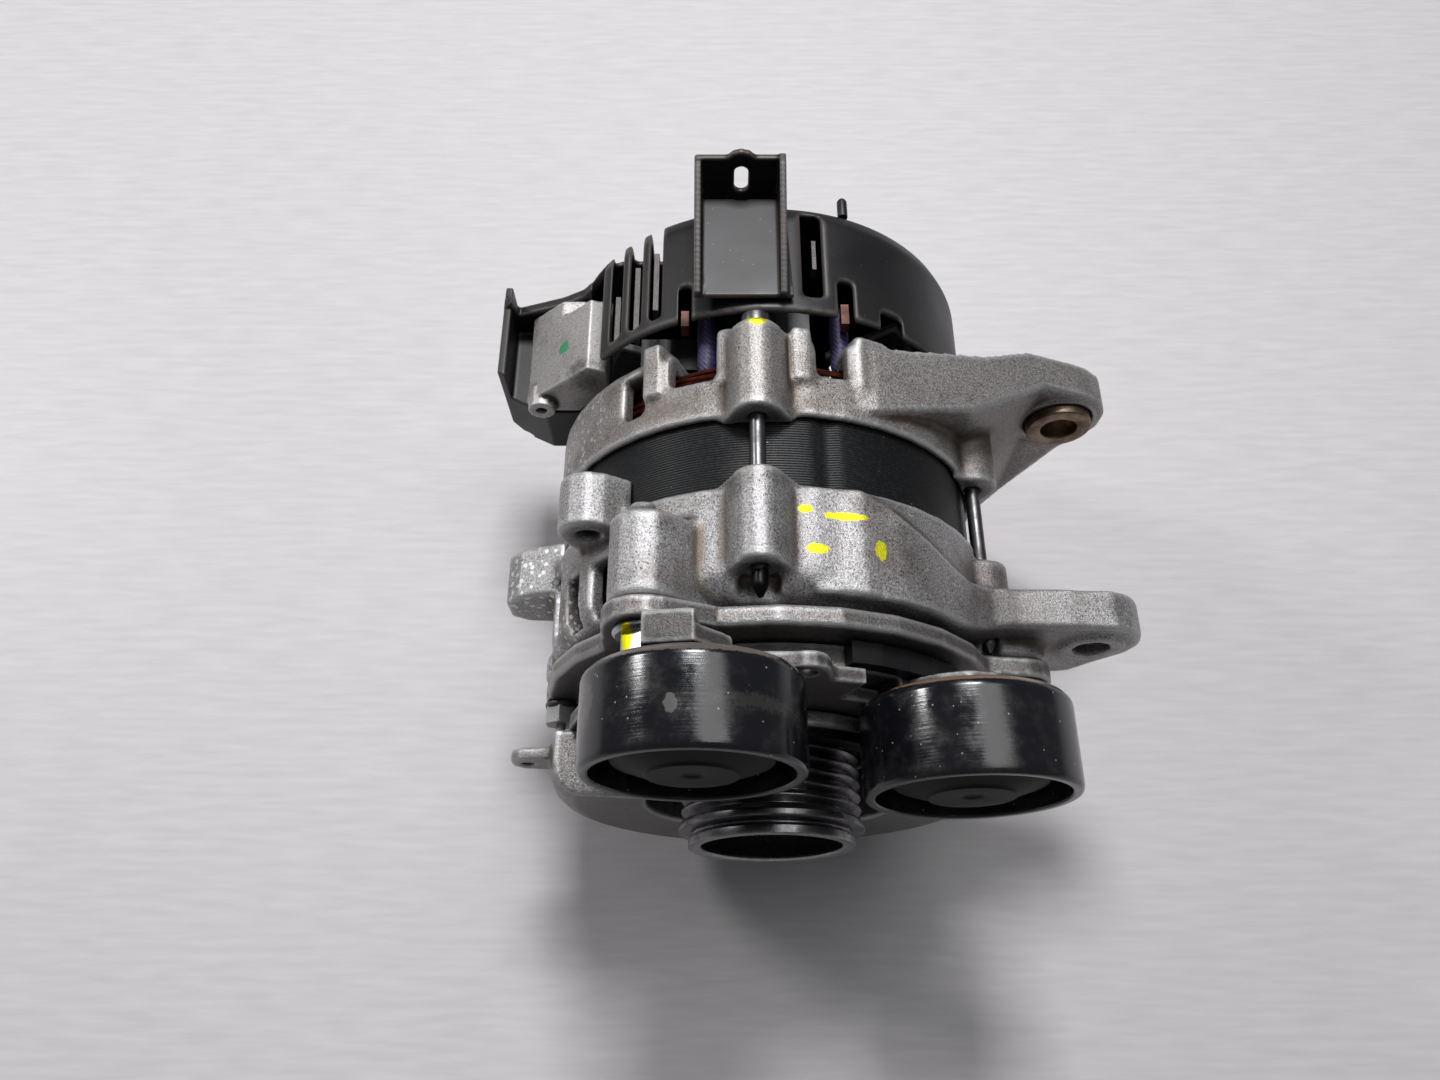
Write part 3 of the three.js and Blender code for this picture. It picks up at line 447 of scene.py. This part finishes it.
def closedMesh(name, build):  # build(bm) adds the faces; doubles are merged and faces turned outwards
    bm = bmesh.new()
    build(bm)
    bmesh.ops.remove_doubles(bm, verts=bm.verts, dist=1e-6)
    bmesh.ops.recalc_face_normals(bm, faces=bm.faces)
    mesh = bpy.data.meshes.new(name)
    bm.to_mesh(mesh)
    bm.free()
    return mesh


def softened(outline, radius, closed=True, steps=3):  # rounds the corners of an outline of 2-D points
    points = [Vector(p) for p in outline]
    made = []
    for i, point in enumerate(points):
        if not closed and i in (0, len(points) - 1):
            made.append(point)
            continue
        before, after = points[i - 1], points[(i + 1) % len(points)]
        toBefore, toAfter = before - point, after - point
        if toBefore.length < 1e-6 or toAfter.length < 1e-6:
            continue
        bend = math.pi - toBefore.angle(toAfter)
        reach = min(radius, 0.42 * toBefore.length, 0.42 * toAfter.length)
        if bend < math.radians(12) or reach < 0.02:
            made.append(point)
            continue
        start, end = point + toBefore.normalized() * reach, point + toAfter.normalized() * reach
        for k in range(steps + 1):
            t = k / steps
            made.append(start * (1 - t) ** 2 + point * 2 * t * (1 - t) + end * t * t)
    return [tuple(p) for p in made]


def turned(name, outline, centre=(0, 0), sides=96, soft=0.4):  # [radius, y] pairs turned about a line along Y
    solid = outline[0][0] == 0
    points = softened(outline, soft, closed=not solid)

    def build(bm):
        rings = []
        for s in range(sides):
            angle = 2 * math.pi * s / sides
            rings.append([bm.verts.new(place(centre[0] + r * math.sin(angle), y, centre[1] + r * math.cos(angle)))
                          for r, y in points])
        count = len(points)
        for s in range(sides):
            a, b = rings[s], rings[(s + 1) % sides]
            for j in range(count - 1 if solid else count):
                k = (j + 1) % count
                corners = [a[j], a[k], b[k], b[j]]
                if points[j][0] < 1e-6:
                    corners = [a[j], a[k], b[k]]
                elif points[k][0] < 1e-6:
                    corners = [a[j], a[k], b[j]]
                bm.faces.new(corners)
    return link(name, closedMesh(name, build))


def boxes(name, spans):  # several boxes, each x0, x1, y0, y1, z0, z1
    def build(bm):
        for x0, x1, y0, y1, z0, z1 in spans:
            made = bmesh.ops.create_cube(bm, size=1)["verts"]
            middle, size = place((x0 + x1) / 2, (y0 + y1) / 2, (z0 + z1) / 2), (x1 - x0, y1 - y0, z1 - z0)
            for vert in made:
                vert.co = middle + Vector([vert.co[i] * size[i] * mm for i in range(3)])
    return link(name, closedMesh(name, build))


def prism(name, outline, y0, y1, soft=0.0):  # an outline of [x, z] pairs carried along Y
    points = softened(outline, soft) if soft else outline

    def build(bm):
        front = bm.faces.new([bm.verts.new(place(x, y0, z)) for x, z in points])
        moved = bmesh.ops.extrude_face_region(bm, geom=[front])["geom"]
        for vert in (v for v in moved if isinstance(v, bmesh.types.BMVert)):
            vert.co.y += (y1 - y0) * mm
    return link(name, closedMesh(name, build))


def copyOf(node, name):  # the CAD node's own shape as a new piece, with its loose triangles merged
    mesh = frame["nodes"][node].data.copy()
    bm = bmesh.new()
    bm.from_mesh(mesh)
    bmesh.ops.remove_doubles(bm, verts=bm.verts, dist=2e-6)
    bm.to_mesh(mesh)
    bm.free()
    mesh.materials.clear()
    return link(name, mesh)


def applied(piece):  # bakes the modifiers into a plain mesh
    evaluated = piece.evaluated_get(bpy.context.evaluated_depsgraph_get())
    mesh = bpy.data.meshes.new_from_object(evaluated)
    piece.modifiers.clear()
    piece.data = mesh
    return piece


def without(piece, cutters):
    for cutter in cutters:
        tool = piece.modifiers.new("cut", "BOOLEAN")
        tool.object, tool.operation, tool.solver = cutter, "DIFFERENCE", "EXACT"
    applied(piece)
    for cutter in cutters:
        bpy.data.objects.remove(cutter)
    return piece


# one even skin whose edges and corners are rounded, as a mould leaves them
def remeshed(piece, voxelMm, rounds, most=150000):
    voxel = piece.modifiers.new("skin", "REMESH")
    voxel.mode, voxel.voxel_size, voxel.adaptivity = "VOXEL", voxelMm * mm, 0.0
    smooth = piece.modifiers.new("rounding", "SMOOTH")
    smooth.factor, smooth.iterations = 0.5, rounds
    applied(piece)
    triangles = 2 * len(piece.data.polygons)
    if triangles > most:
        thin = piece.modifiers.new("thin", "DECIMATE")
        thin.ratio = most / triangles
        applied(piece)
    return piece


# how far each point stands out of its surroundings, as attribute "edge" from -1 to 1
def markEdges(piece, spread=3):
    mesh = piece.data
    count = len(mesh.vertices)
    points, normals = np.empty(count * 3), np.empty(count * 3)
    ends = np.empty(len(mesh.edges) * 2, dtype=np.int64)
    mesh.vertices.foreach_get("co", points)
    mesh.vertices.foreach_get("normal", normals)
    mesh.edges.foreach_get("vertices", ends)
    points, normals, ends = points.reshape(-1, 3), normals.reshape(-1, 3), ends.reshape(-1, 2)
    near = np.concatenate([ends, ends[:, ::-1]])
    howMany = np.maximum(np.bincount(near[:, 0], minlength=count), 1)

    def neighbours(values):
        return np.bincount(near[:, 0], weights=values[near[:, 1]], minlength=count) / howMany

    mean = np.stack([neighbours(points[:, i]) for i in range(3)], axis=1)
    height = ((points - mean) * normals).sum(axis=1)
    for _ in range(spread):
        height = 0.4 * height + 0.6 * neighbours(height)
    height /= max(np.percentile(np.abs(height), 96), 1e-9)
    attribute = mesh.attributes.new("edge", "FLOAT", "POINT")
    attribute.data.foreach_set("value", np.clip(height, -1, 1).astype(np.float32))
    return piece


# gives a piece its finish, body and the nodes it stands for
def ready(piece, nodes, finish, smoothAngle=35):
    piece.data.materials.clear()
    piece.data.materials.append(finishes[finish])
    if "edge" not in piece.data.attributes:
        markEdges(piece)
    piece.data.shade_smooth()
    if smoothAngle:
        piece.data.set_sharp_from_angle(angle=math.radians(smoothAngle))
    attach(piece, bodyOf[nodes[0]])
    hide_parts(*nodes)
    return piece


def detail(piece, node, finish):  # a small added piece that stands for no node of its own
    piece.data.materials.clear()
    piece.data.materials.append(finishes[finish])
    piece.data.shade_smooth()
    piece.data.set_sharp_from_angle(angle=math.radians(35))
    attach(piece, bodyOf[node])
    return piece


def newTree(name, sockets):
    tree = bpy.data.node_groups.new(name, "GeometryNodeTree")
    tree.interface.new_socket("Geometry", in_out="INPUT", socket_type="NodeSocketGeometry")
    for label, kind, value in sockets:
        made = tree.interface.new_socket(label, in_out="INPUT", socket_type=kind)
        if value is not None:
            made.default_value = value
    tree.interface.new_socket("Geometry", in_out="OUTPUT", socket_type="NodeSocketGeometry")
    return tree, addNode(tree, "NodeGroupInput").outputs, addNode(tree, "NodeGroupOutput").inputs


def ringTree():  # copies of the piece's own mesh turned round the shaft
    tree, given, result = newTree("copiesRoundTheShaft", [
        ("Copies", "NodeSocketInt", 12), ("Step", "NodeSocketFloat", 0.5), ("Centre", "NodeSocketVector", None),
        ("Finish", "NodeSocketMaterial", None)])
    home = addNode(tree, "ShaderNodeVectorMath", {"operation": "SCALE"}, {0: given["Centre"], "Scale": -1.0})
    part = addNode(
        tree, "GeometryNodeTransform", inputs={"Geometry": given["Geometry"], "Translation": home.outputs[0]})
    points = addNode(tree, "GeometryNodePoints", inputs={"Count": given["Copies"], "Position": given["Centre"]})
    turn = addNode(
        tree, "ShaderNodeMath", {"operation": "MULTIPLY"},
        {0: addNode(tree, "GeometryNodeInputIndex").outputs[0], 1: given["Step"]})
    spin = addNode(tree, "ShaderNodeCombineXYZ", inputs={"Y": turn.outputs[0]})
    copies = addNode(
        tree, "GeometryNodeInstanceOnPoints",
        inputs={"Points": points.outputs[0], "Instance": part.outputs[0], "Rotation": spin.outputs[0]})
    real = addNode(tree, "GeometryNodeRealizeInstances", inputs={0: copies.outputs[0]})
    dressed = addNode(
        tree, "GeometryNodeSetMaterial", inputs={"Geometry": real.outputs[0], "Material": given["Finish"]})
    tree.links.new(dressed.outputs[0], result["Geometry"])
    return tree


def stackTree():  # copies of the piece's own mesh laid one behind another
    tree, given, result = newTree("sheetsInAStack", [
        ("Copies", "NodeSocketInt", 12), ("Pitch", "NodeSocketFloat", 0.001), ("Finish", "NodeSocketMaterial", None)])
    line = addNode(tree, "GeometryNodePoints", inputs={"Count": given["Copies"]})
    back = addNode(
        tree, "ShaderNodeMath", {"operation": "MULTIPLY"},
        {0: addNode(tree, "GeometryNodeInputIndex").outputs[0], 1: given["Pitch"]})
    offset = addNode(tree, "ShaderNodeCombineXYZ", inputs={"Y": back.outputs[0]})
    moved = addNode(
        tree, "GeometryNodeSetPosition", inputs={"Geometry": line.outputs[0], "Offset": offset.outputs[0]})
    copies = addNode(
        tree, "GeometryNodeInstanceOnPoints",
        inputs={"Points": moved.outputs[0], "Instance": given["Geometry"]})
    real = addNode(tree, "GeometryNodeRealizeInstances", inputs={0: copies.outputs[0]})
    dressed = addNode(
        tree, "GeometryNodeSetMaterial", inputs={"Geometry": real.outputs[0], "Material": given["Finish"]})
    tree.links.new(dressed.outputs[0], result["Geometry"])
    return tree


def grow(piece, tree, values):  # runs a tree on a piece and keeps the plain mesh
    modifier = piece.modifiers.new(tree.name, "NODES")
    modifier.node_group = tree
    for item in tree.interface.items_tree:
        if item.in_out == "INPUT" and item.name in values:
            modifier[item.identifier] = values[item.name]
    return applied(piece)


copiesRound, sheetStack = ringTree(), stackTree()

castings = {
    "drive_end_bracket": {"piece": "driveEndCasting", "finish": "bracketFront", "voxelMm": 1.0, "rounds": 7},
    "rear_bracket": {"piece": "rearCasting", "finish": "bracketRear", "voxelMm": 1.0, "rounds": 6},
    "tensioner_base": {"piece": "tensionerBaseCasting", "finish": "tensioner", "voxelMm": 0.75, "rounds": 4},
    "tensioner_spring_housing": {
        "piece": "springHousingCasting", "finish": "tensioner", "voxelMm": 0.75, "rounds": 5},
    "tensioner_carrier": {"piece": "carrierCasting", "finish": "carrier", "voxelMm": 0.65, "rounds": 4},
    "tensioner_arm": {"piece": "armCasting", "finish": "arm", "voxelMm": 0.65, "rounds": 4},
    "regulator_heat_sink": {"piece": "heatSinkCasting", "finish": "block", "voxelMm": 0.45, "rounds": 4},
    "connector_housing": {"piece": "connectorMoulding", "finish": "connector", "voxelMm": 0.5, "rounds": 3},
    "terminal_guard": {"piece": "guardMoulding", "finish": "guard", "voxelMm": 0.45, "rounds": 4},
    "rectifier_plate_positive": {"piece": "positivePlate", "finish": "arm", "voxelMm": 0.7, "rounds": 2},
}
for node, row in castings.items():
    piece = remeshed(copyOf(node, row["piece"]), row["voxelMm"], row["rounds"])
    ready(piece, [node], row["finish"], None)
    print("casting", node, len(piece.data.polygons))

stator = {
    "inner": 47, "outer": 64.5, "front": 79.7, "rear": 111.3, "sheets": 40, "grooves": (13, 103, 193, 283)}


def statorStack():
    pitch = (stator["rear"] - stator["front"]) / stator["sheets"]
    sides = 180

    def build(bm):
        rings = []
        for s in range(sides):
            degrees = 360 * s / sides
            dip = max((0.9 for g in stator["grooves"] if abs(degrees - g) < 1.6), default=0)
            y0, y1, lip = stator["front"], stator["front"] + pitch * 0.97, pitch * 0.22
            outline = [(stator["inner"], y0), (stator["outer"] - dip - 0.1, y0), (stator["outer"] - dip, y0 + lip),
                       (stator["outer"] - dip, y1 - lip), (stator["outer"] - dip - 0.1, y1), (stator["inner"], y1)]
            rings.append([bm.verts.new(place(*[(c := around(r, degrees))[0], y, c[1]])) for r, y in outline])
        for s in range(sides):
            a, b = rings[s], rings[(s + 1) % sides]
            for j in range(len(a)):
                k = (j + 1) % len(a)
                bm.faces.new([a[j], a[k], b[k], b[j]])
    piece = link("statorLaminations", closedMesh("statorLaminations", build))
    return grow(
        piece, sheetStack, {"Copies": stator["sheets"], "Pitch": pitch * mm, "Finish": finishes["stator"]})


ready(statorStack(), ["stator_core"], "stator")

winding = {"loops": 36, "wireR": 1.0, "rows": (50.6, 53.4, 56.2, 59.0), "halfWidth": 3.6}


def endTurns(name, node, root, tip):  # hairpin loops of wire that stand out of the stator's slots
    def build(bm):
        for row, radius in enumerate(winding["rows"]):
            path = []
            for k in range(9):
                t = math.pi * k / 8
                across = -winding["halfWidth"] * math.cos(t) + (row % 2) * 1.4
                along = root + (tip - root) * math.sin(t) ** 0.7
                path.append(place(across, along, radius))
            previous = None
            for k, point in enumerate(path):
                ahead = (path[min(k + 1, 8)] - path[max(k - 1, 0)]).normalized()
                side = Vector((0, 0, 1))
                other = ahead.cross(side).normalized()
                ring = [bm.verts.new(point + (side * math.cos(a) + other * math.sin(a)) * winding["wireR"] * mm)
                        for a in (math.pi * q / 3 for q in range(6))]
                if previous:
                    for q in range(6):
                        bm.faces.new([previous[q], previous[(q + 1) % 6], ring[(q + 1) % 6], ring[q]])
                else:
                    bm.faces.new(list(reversed(ring)))
                previous = ring
            bm.faces.new(previous)
    piece = link(name, closedMesh(name, build))
    values = {
        "Copies": winding["loops"], "Step": 2 * math.pi / winding["loops"], "Centre": shaft,
        "Finish": finishes["copper"]}
    return ready(grow(piece, copiesRound, values), [node], "copper")


endTurns("frontEndTurns", "stator_winding_front", 79, 66.2)
endTurns("rearEndTurns", "stator_winding_rear", 112, 122.9)
bundle = {"wires": 9, "radius": 60.2, "wireR": 0.62, "front": 118.6, "pitch": 0.98, "sway": 0.45, "sides": 120}


def wireBundle():  # the phase leads that run round behind the end turns, laid side by side
    def build(bm):
        for wire in range(bundle["wires"]):
            rings = []
            for k in range(bundle["sides"]):
                degrees = 360 * k / bundle["sides"]
                swing = math.sin(math.radians(degrees) * 5 + wire * 1.9)
                y = bundle["front"] + wire * bundle["pitch"] + bundle["sway"] * swing
                radius = bundle["radius"] + 0.5 * math.sin(wire * 2.3) + 0.3 * math.sin(
                    math.radians(degrees) * 8 + wire)
                ring = []
                for q in range(6):
                    out = around(radius + bundle["wireR"] * math.cos(math.pi * q / 3), degrees)
                    ring.append(
                        bm.verts.new(place(out[0], y + bundle["wireR"] * math.sin(math.pi * q / 3), out[1])))
                rings.append(ring)
            for k in range(bundle["sides"]):
                a, b = rings[k], rings[(k + 1) % bundle["sides"]]
                for q in range(6):
                    bm.faces.new([a[q], a[(q + 1) % 6], b[(q + 1) % 6], b[q]])
    return detail(link("leadBundle", closedMesh("leadBundle", build)), "stator_winding_rear", "copper")


wireBundle()
print("stator done")

pulley = {"ribs": 6, "pitch": 3.56, "firstRib": 10.2, "root": 24.2, "top": 26.4}


def pulleyOutline():
    outline = [
        (20.5, 0.5), (21.2, 0.0), (24.3, 0.0), (24.3, 2.4), (23.3, 2.9), (23.3, 3.7), (27.2, 4.4), (27.2, 6.2)]
    for i in range(pulley["ribs"]):
        middle = pulley["firstRib"] + i * pulley["pitch"]
        outline += [
            (pulley["root"], middle - pulley["pitch"] / 2), (pulley["top"], middle - 0.35),
            (pulley["top"], middle + 0.35)]
    outline += [
        (pulley["root"], 29.9), (27.2, 31), (27.2, 33.1), (26.4, 34), (20.5, 34), (20.5, 8.5), (21.0, 8.0),
        (21.0, 3.0)]
    return outline


ready(turned("poly_v_pulley", pulleyOutline(), sides=160, soft=0.28), ["pulley_sleeve"], "pulley")
hub = {"teeth": 33, "toothTop": 8.75}
ready(turned("hubTube", [(9.3, 10.6), (16.4, 10.4), (17.5, 11.4), (17.5, 33), (12, 33.4), (12, 38.5), (7.8, 38.5), (7.8, 18.6), (9.3, 18.6)],
             soft=0.5), ["pulley_hub"], "hub")


def hubTeeth():
    tooth = prism(
        "hubSplines", [(-0.42, 9.5), (-0.2, hub["toothTop"]), (0.2, hub["toothTop"]), (0.42, 9.5)], 11.4, 18.4)
    values = {
        "Copies": hub["teeth"], "Step": 2 * math.pi / hub["teeth"], "Centre": shaft,
        "Finish": finishes["steel"]}
    return detail(grow(tooth, copiesRound, values), "pulley_hub", "steel")


hubTeeth()
ready(
    turned("clutchRollers", [(17.8, 12), (20.2, 12), (20.2, 32), (17.8, 32)], soft=0.3),
    ["overrunning_clutch"], "hub")
ready(
    turned("retainingRing", [(30.4, 23.6), (36, 23.6), (36, 25.7), (30.4, 25.7)], soft=0.3),
    ["tensioner_retaining_ring"], "hub")
print("pulley done")

idlerCentre = {side: (jointAt[f"idler_{side}_spin"] - nose) / mm for side in ("left", "right")}


def idler(side):
    centre = (idlerCentre[side].x, idlerCentre[side].z)
    tyre = [(24.9, 5.9), (25.4, 5.5), (27.2, 5.5), (27.9, 6.4), (28, 8), (28, 27.6), (27.7, 28.6), (26.4, 30.1), (25.2, 30.5),
            (24.6, 30.2), (24.4, 24), (20.6, 24), (20.6, 28.4), (17.8, 28.4), (17.8, 12.4), (20.6, 12.4), (20.8, 19.5), (24.4, 20)]
    cap = [(0, 6.6), (2.2, 6.6), (3.0, 5.9), (11.4, 5.6), (11.8, 6.1), (12.2, 6.4), (19.4, 8.9), (20.2, 9.3), (20.2, 12), (19.2, 12),
           (19.1, 10), (11.4, 7.6), (0, 7.6)]
    ready(
        turned(f"idlerTyre_{side}", tyre, centre, 144, 0.5), [f"idler_tyre_{side}"],
        "idlerLeft" if side == "left" else "idlerRight")
    ready(turned(f"idlerCap_{side}", cap, centre, 96, 0.4), [f"idler_cap_{side}"], "cap")


for side in idlerCentre:
    idler(side)
print("idlers done")

for number, degrees in enumerate((-4, 68.5, 155, -112), start=1):
    at = around(67.9, degrees)
    rod = [
        (0, 50.5), (0.6, 50.5), (2.0, 53.2), (2.2, 54), (2.2, 133.6), (4.3, 133.6), (4.3, 137.6), (3.8, 138),
        (0, 138)]
    ready(turned(f"throughBolt_{number}", rod, at, 40, 0.3), [f"through_bolt_{number}"], "boltSteel")


def hexBolt(name, node, at, headR, flangeR, finish, stud=False):  # flanged hexagon head with a dished top
    outline = [
        (at[0] + headR * math.sin(math.pi * k / 3), at[1] + headR * math.cos(math.pi * k / 3)) for k in range(6)]
    head = prism(name + "Head", outline, 36.7, 42.2, soft=0.35)
    crown = turned(
        name + "Crown", [(0, 36.0), (headR * 0.92, 36.0), (headR * 1.05, 37.6), (headR * 1.05, 44), (0, 44)],
        at, 64, 0.2)
    tool = head.modifiers.new("crown", "BOOLEAN")
    tool.object, tool.operation, tool.solver = crown, "INTERSECT", "EXACT"
    applied(head)
    bpy.data.objects.remove(crown)
    flange = turned(
        name + "Flange",
        [(0, 41.4), (flangeR * 0.9, 41.4), (flangeR, 42.2), (flangeR, 43.2), (3.6, 43.3), (3.6, 56), (0, 56)],
        at, 64, 0.25)
    parts = [head, flange]
    if stud:
        parts.append(
            turned(name + "Stud", [(0, 34.0), (1.1, 34.0), (1.5, 34.5), (1.5, 37.5), (0, 37.5)], at, 24, 0.2))
    bm = bmesh.new()
    for part in parts:
        bm.from_mesh(part.data)
    mesh = bpy.data.meshes.new(name)
    bm.to_mesh(mesh)
    bm.free()
    for part in parts:
        bpy.data.objects.remove(part)
    return ready(link(name, mesh), [node], finish, 30)


hexBolt("tensionerBoltTop", "tensioner_bolt_1", (-34.4, 63), 6.4, 8.2, "zinc")
hexBolt("tensionerBoltSide", "tensioner_bolt_2", (-63.5, 0), 4.9, 5.0, "arm", stud=True)
hexBolt("tensionerBoltRight", "tensioner_bolt_3", (72.5, 17), 6.4, 8.2, "zinc")
ready(
    turned("mountBush", [(5.65, 129.5), (10.3, 129.5), (10.3, 144.5), (5.65, 144.5)], (95, 20), 72, 0.7),
    ["rear_mount_bush"], "bronze")
for number, at in enumerate([(-19, 52.5), (-1, 56.5), (21, 52)], start=1):
    ready(turned(f"phaseSleeve_{number}", [(0, 128.5), (2.3, 128.5), (2.9, 132), (2.7, 137), (3.0, 142), (2.7, 148), (2.3, 152), (0, 152)], at, 28, 0.8),
          [f"phase_sleeve_{number}"], "sleeve")
print("fasteners done")

cover = {"radius": 67.5, "wall": 2.2, "front": 141, "rear": 184, "voxelMm": 0.85}


def rearCover():
    outer, wall, y0, y1 = cover["radius"], cover["wall"], cover["front"], cover["rear"]
    outline = [(outer - wall, y0), (outer, y0), (outer, y1 - 8), (outer - 2, y1 - 2.8), (outer - 7, y1), (18, y1), (18, y1 - 2), (outer - 7, y1 - 2),
               (outer - 4, y1 - 4.4), (outer - wall, y1 - 8)]
    shell = turned("rearCoverMoulding", outline, sides=160, soft=1.2)
    slots = [(x - 1.9, x + 1.9, 145, 190, 38, 80) for x in (-47.5, -41, -34.5)]
    notches = [(20, 24.6, 135, 154.5, 45, 75), (-27.4, -23.4, 135, 153.5, 45, 75), (33, 40, 135, 147.5, 40, 70)]
    window = [(9.3, 15.4, 147, 178.5, 55, 75)]
    cutters = [boxes("slots", slots), boxes("notches", notches), boxes("window", window), boxes("plugBay", [(-95, -44, 130, 179.5, -13, 41.6)]),
               turned("studHole", [(0, 170), (7.2, 170), (7.2, 190), (0, 190)], (34, -22), 40, 0)]
    without(shell, cutters)
    return ready(remeshed(shell, cover["voxelMm"], 3), ["rear_cover"], "cover", None)


rearCover()
strips = [
    (-48.4, -46.8, 149, 166, 37, 41.5), (-41.8, -40.2, 146, 172, 43, 48.5), (-35.6, -34, 152, 174, 47, 53),
    (13.2, 14.4, 162, 173, 56, 60)]
detail(boxes("diodeStrips", strips), "rectifier_plate_positive", "carrier")
lugs = [(21.1, 23.4, 141.5, 148.5, 56, 60.2), (-26.6, -24.3, 141.5, 147, 54, 59)]
detail(boxes("leadLugs", lugs), "rectifier_plate_positive", "bronzeLug")
pin = turned("coverPin", [(0, 183), (1.6, 183), (1.6, 189.4), (1.0, 190.4), (0, 190.4)], (23.5, 59), 32, 0.4)
detail(pin, "rear_cover", "cover")
plug = turned(
    "coverPlug",
    [
        (0, 182.4), (17.2, 182.4), (18.4, 182.1), (18.4, 183.2), (16.6, 183.7), (9, 183.7), (8, 183.2),
        (0, 183.2)],
    sides=72)
detail(plug, "rear_cover", "cover")
print("cover done")

for node, piece in frame["nodes"].items():
    if piece.hide_render:
        continue
    piece.data.materials.clear()
    piece.data.materials.append(finishes[slotFinish[slotOf[node]]])
frame["nodes"]["damping_band"].data.materials[0] = finishes["band"]

def paleBoard():  # painted board: off-white, faint brush lines
    made, tree, shader, coords = newMaterial("paintedBoard", Roughness=0.5)
    stretched = addNode(tree, "ShaderNodeMapping", inputs={"Vector": coords, "Scale": (0.12, 1.0, 1.0)})
    grain = addNode(
        tree, "ShaderNodeTexNoise",
        inputs={"Vector": stretched.outputs[0], "Scale": perMetre(2.5), "Detail": 4.0})
    tone = addNode(
        tree, "ShaderNodeMapRange", inputs={"Value": grain.outputs[0], "From Min": 0.3, "From Max": 0.7})
    tree.links.new(
        painted(tree, linear("#c3bfc0"), tone.outputs[0], linear("#cdc9ca")), shader.inputs["Base Color"])
    return made


bpy.ops.mesh.primitive_plane_add(size=6, location=(0, 0, cadLow.z))
floor = bpy.context.object
floor.name = "floor"
floor.data.materials.append(paleBoard())


def areaLight(name, position, target, size, power, colour="#ffffff"):
    data = bpy.data.lights.new(name, "AREA")
    data.shape, data.size, data.energy, data.color = "SQUARE", size, power, linear(colour)[:3]
    lamp = bpy.data.objects.new(name, data)
    bpy.context.scene.collection.objects.link(lamp)
    lamp.location = position
    lamp.rotation_euler = (Vector(target) - Vector(position)).to_track_quat("-Z", "Y").to_euler()


areaLight("window", (0.0, 0.62, 1.25), (0, 0, 0.05), 0.34, 15, "#fbfcff")
areaLight("lamp", (-0.99, 0.48, 0.8), (0, 0, 0.1), 0.22, 4.6)
areaLight("ceiling", (0.45, 0.25, 1.5), (0, 0, 0.05), 0.7, 4.5)
world = bpy.data.worlds.new("room")
world.use_nodes = True
world.node_tree.nodes["Background"].inputs["Color"].default_value = linear("#e8ecf2")
world.node_tree.nodes["Background"].inputs["Strength"].default_value = 0.17
bpy.context.scene.world = world
bpy.context.scene.view_settings.view_transform = "Standard"

view = {"from": (-15.0, -55.4, 321.4), "elevation": 64.3, "lens": 27.05, "sensor": 36}
camera = bpy.data.objects.new("camera", bpy.data.cameras.new("camera"))
bpy.context.scene.collection.objects.link(camera)
camera.data.lens, camera.data.sensor_width = view["lens"], view["sensor"]
camera.data.clip_start, camera.data.clip_end = 0.01, 20
camera.location = place(*view["from"])
camera.rotation_euler = (math.radians(90 - view["elevation"]), 0, 0)
bpy.context.scene.camera = camera
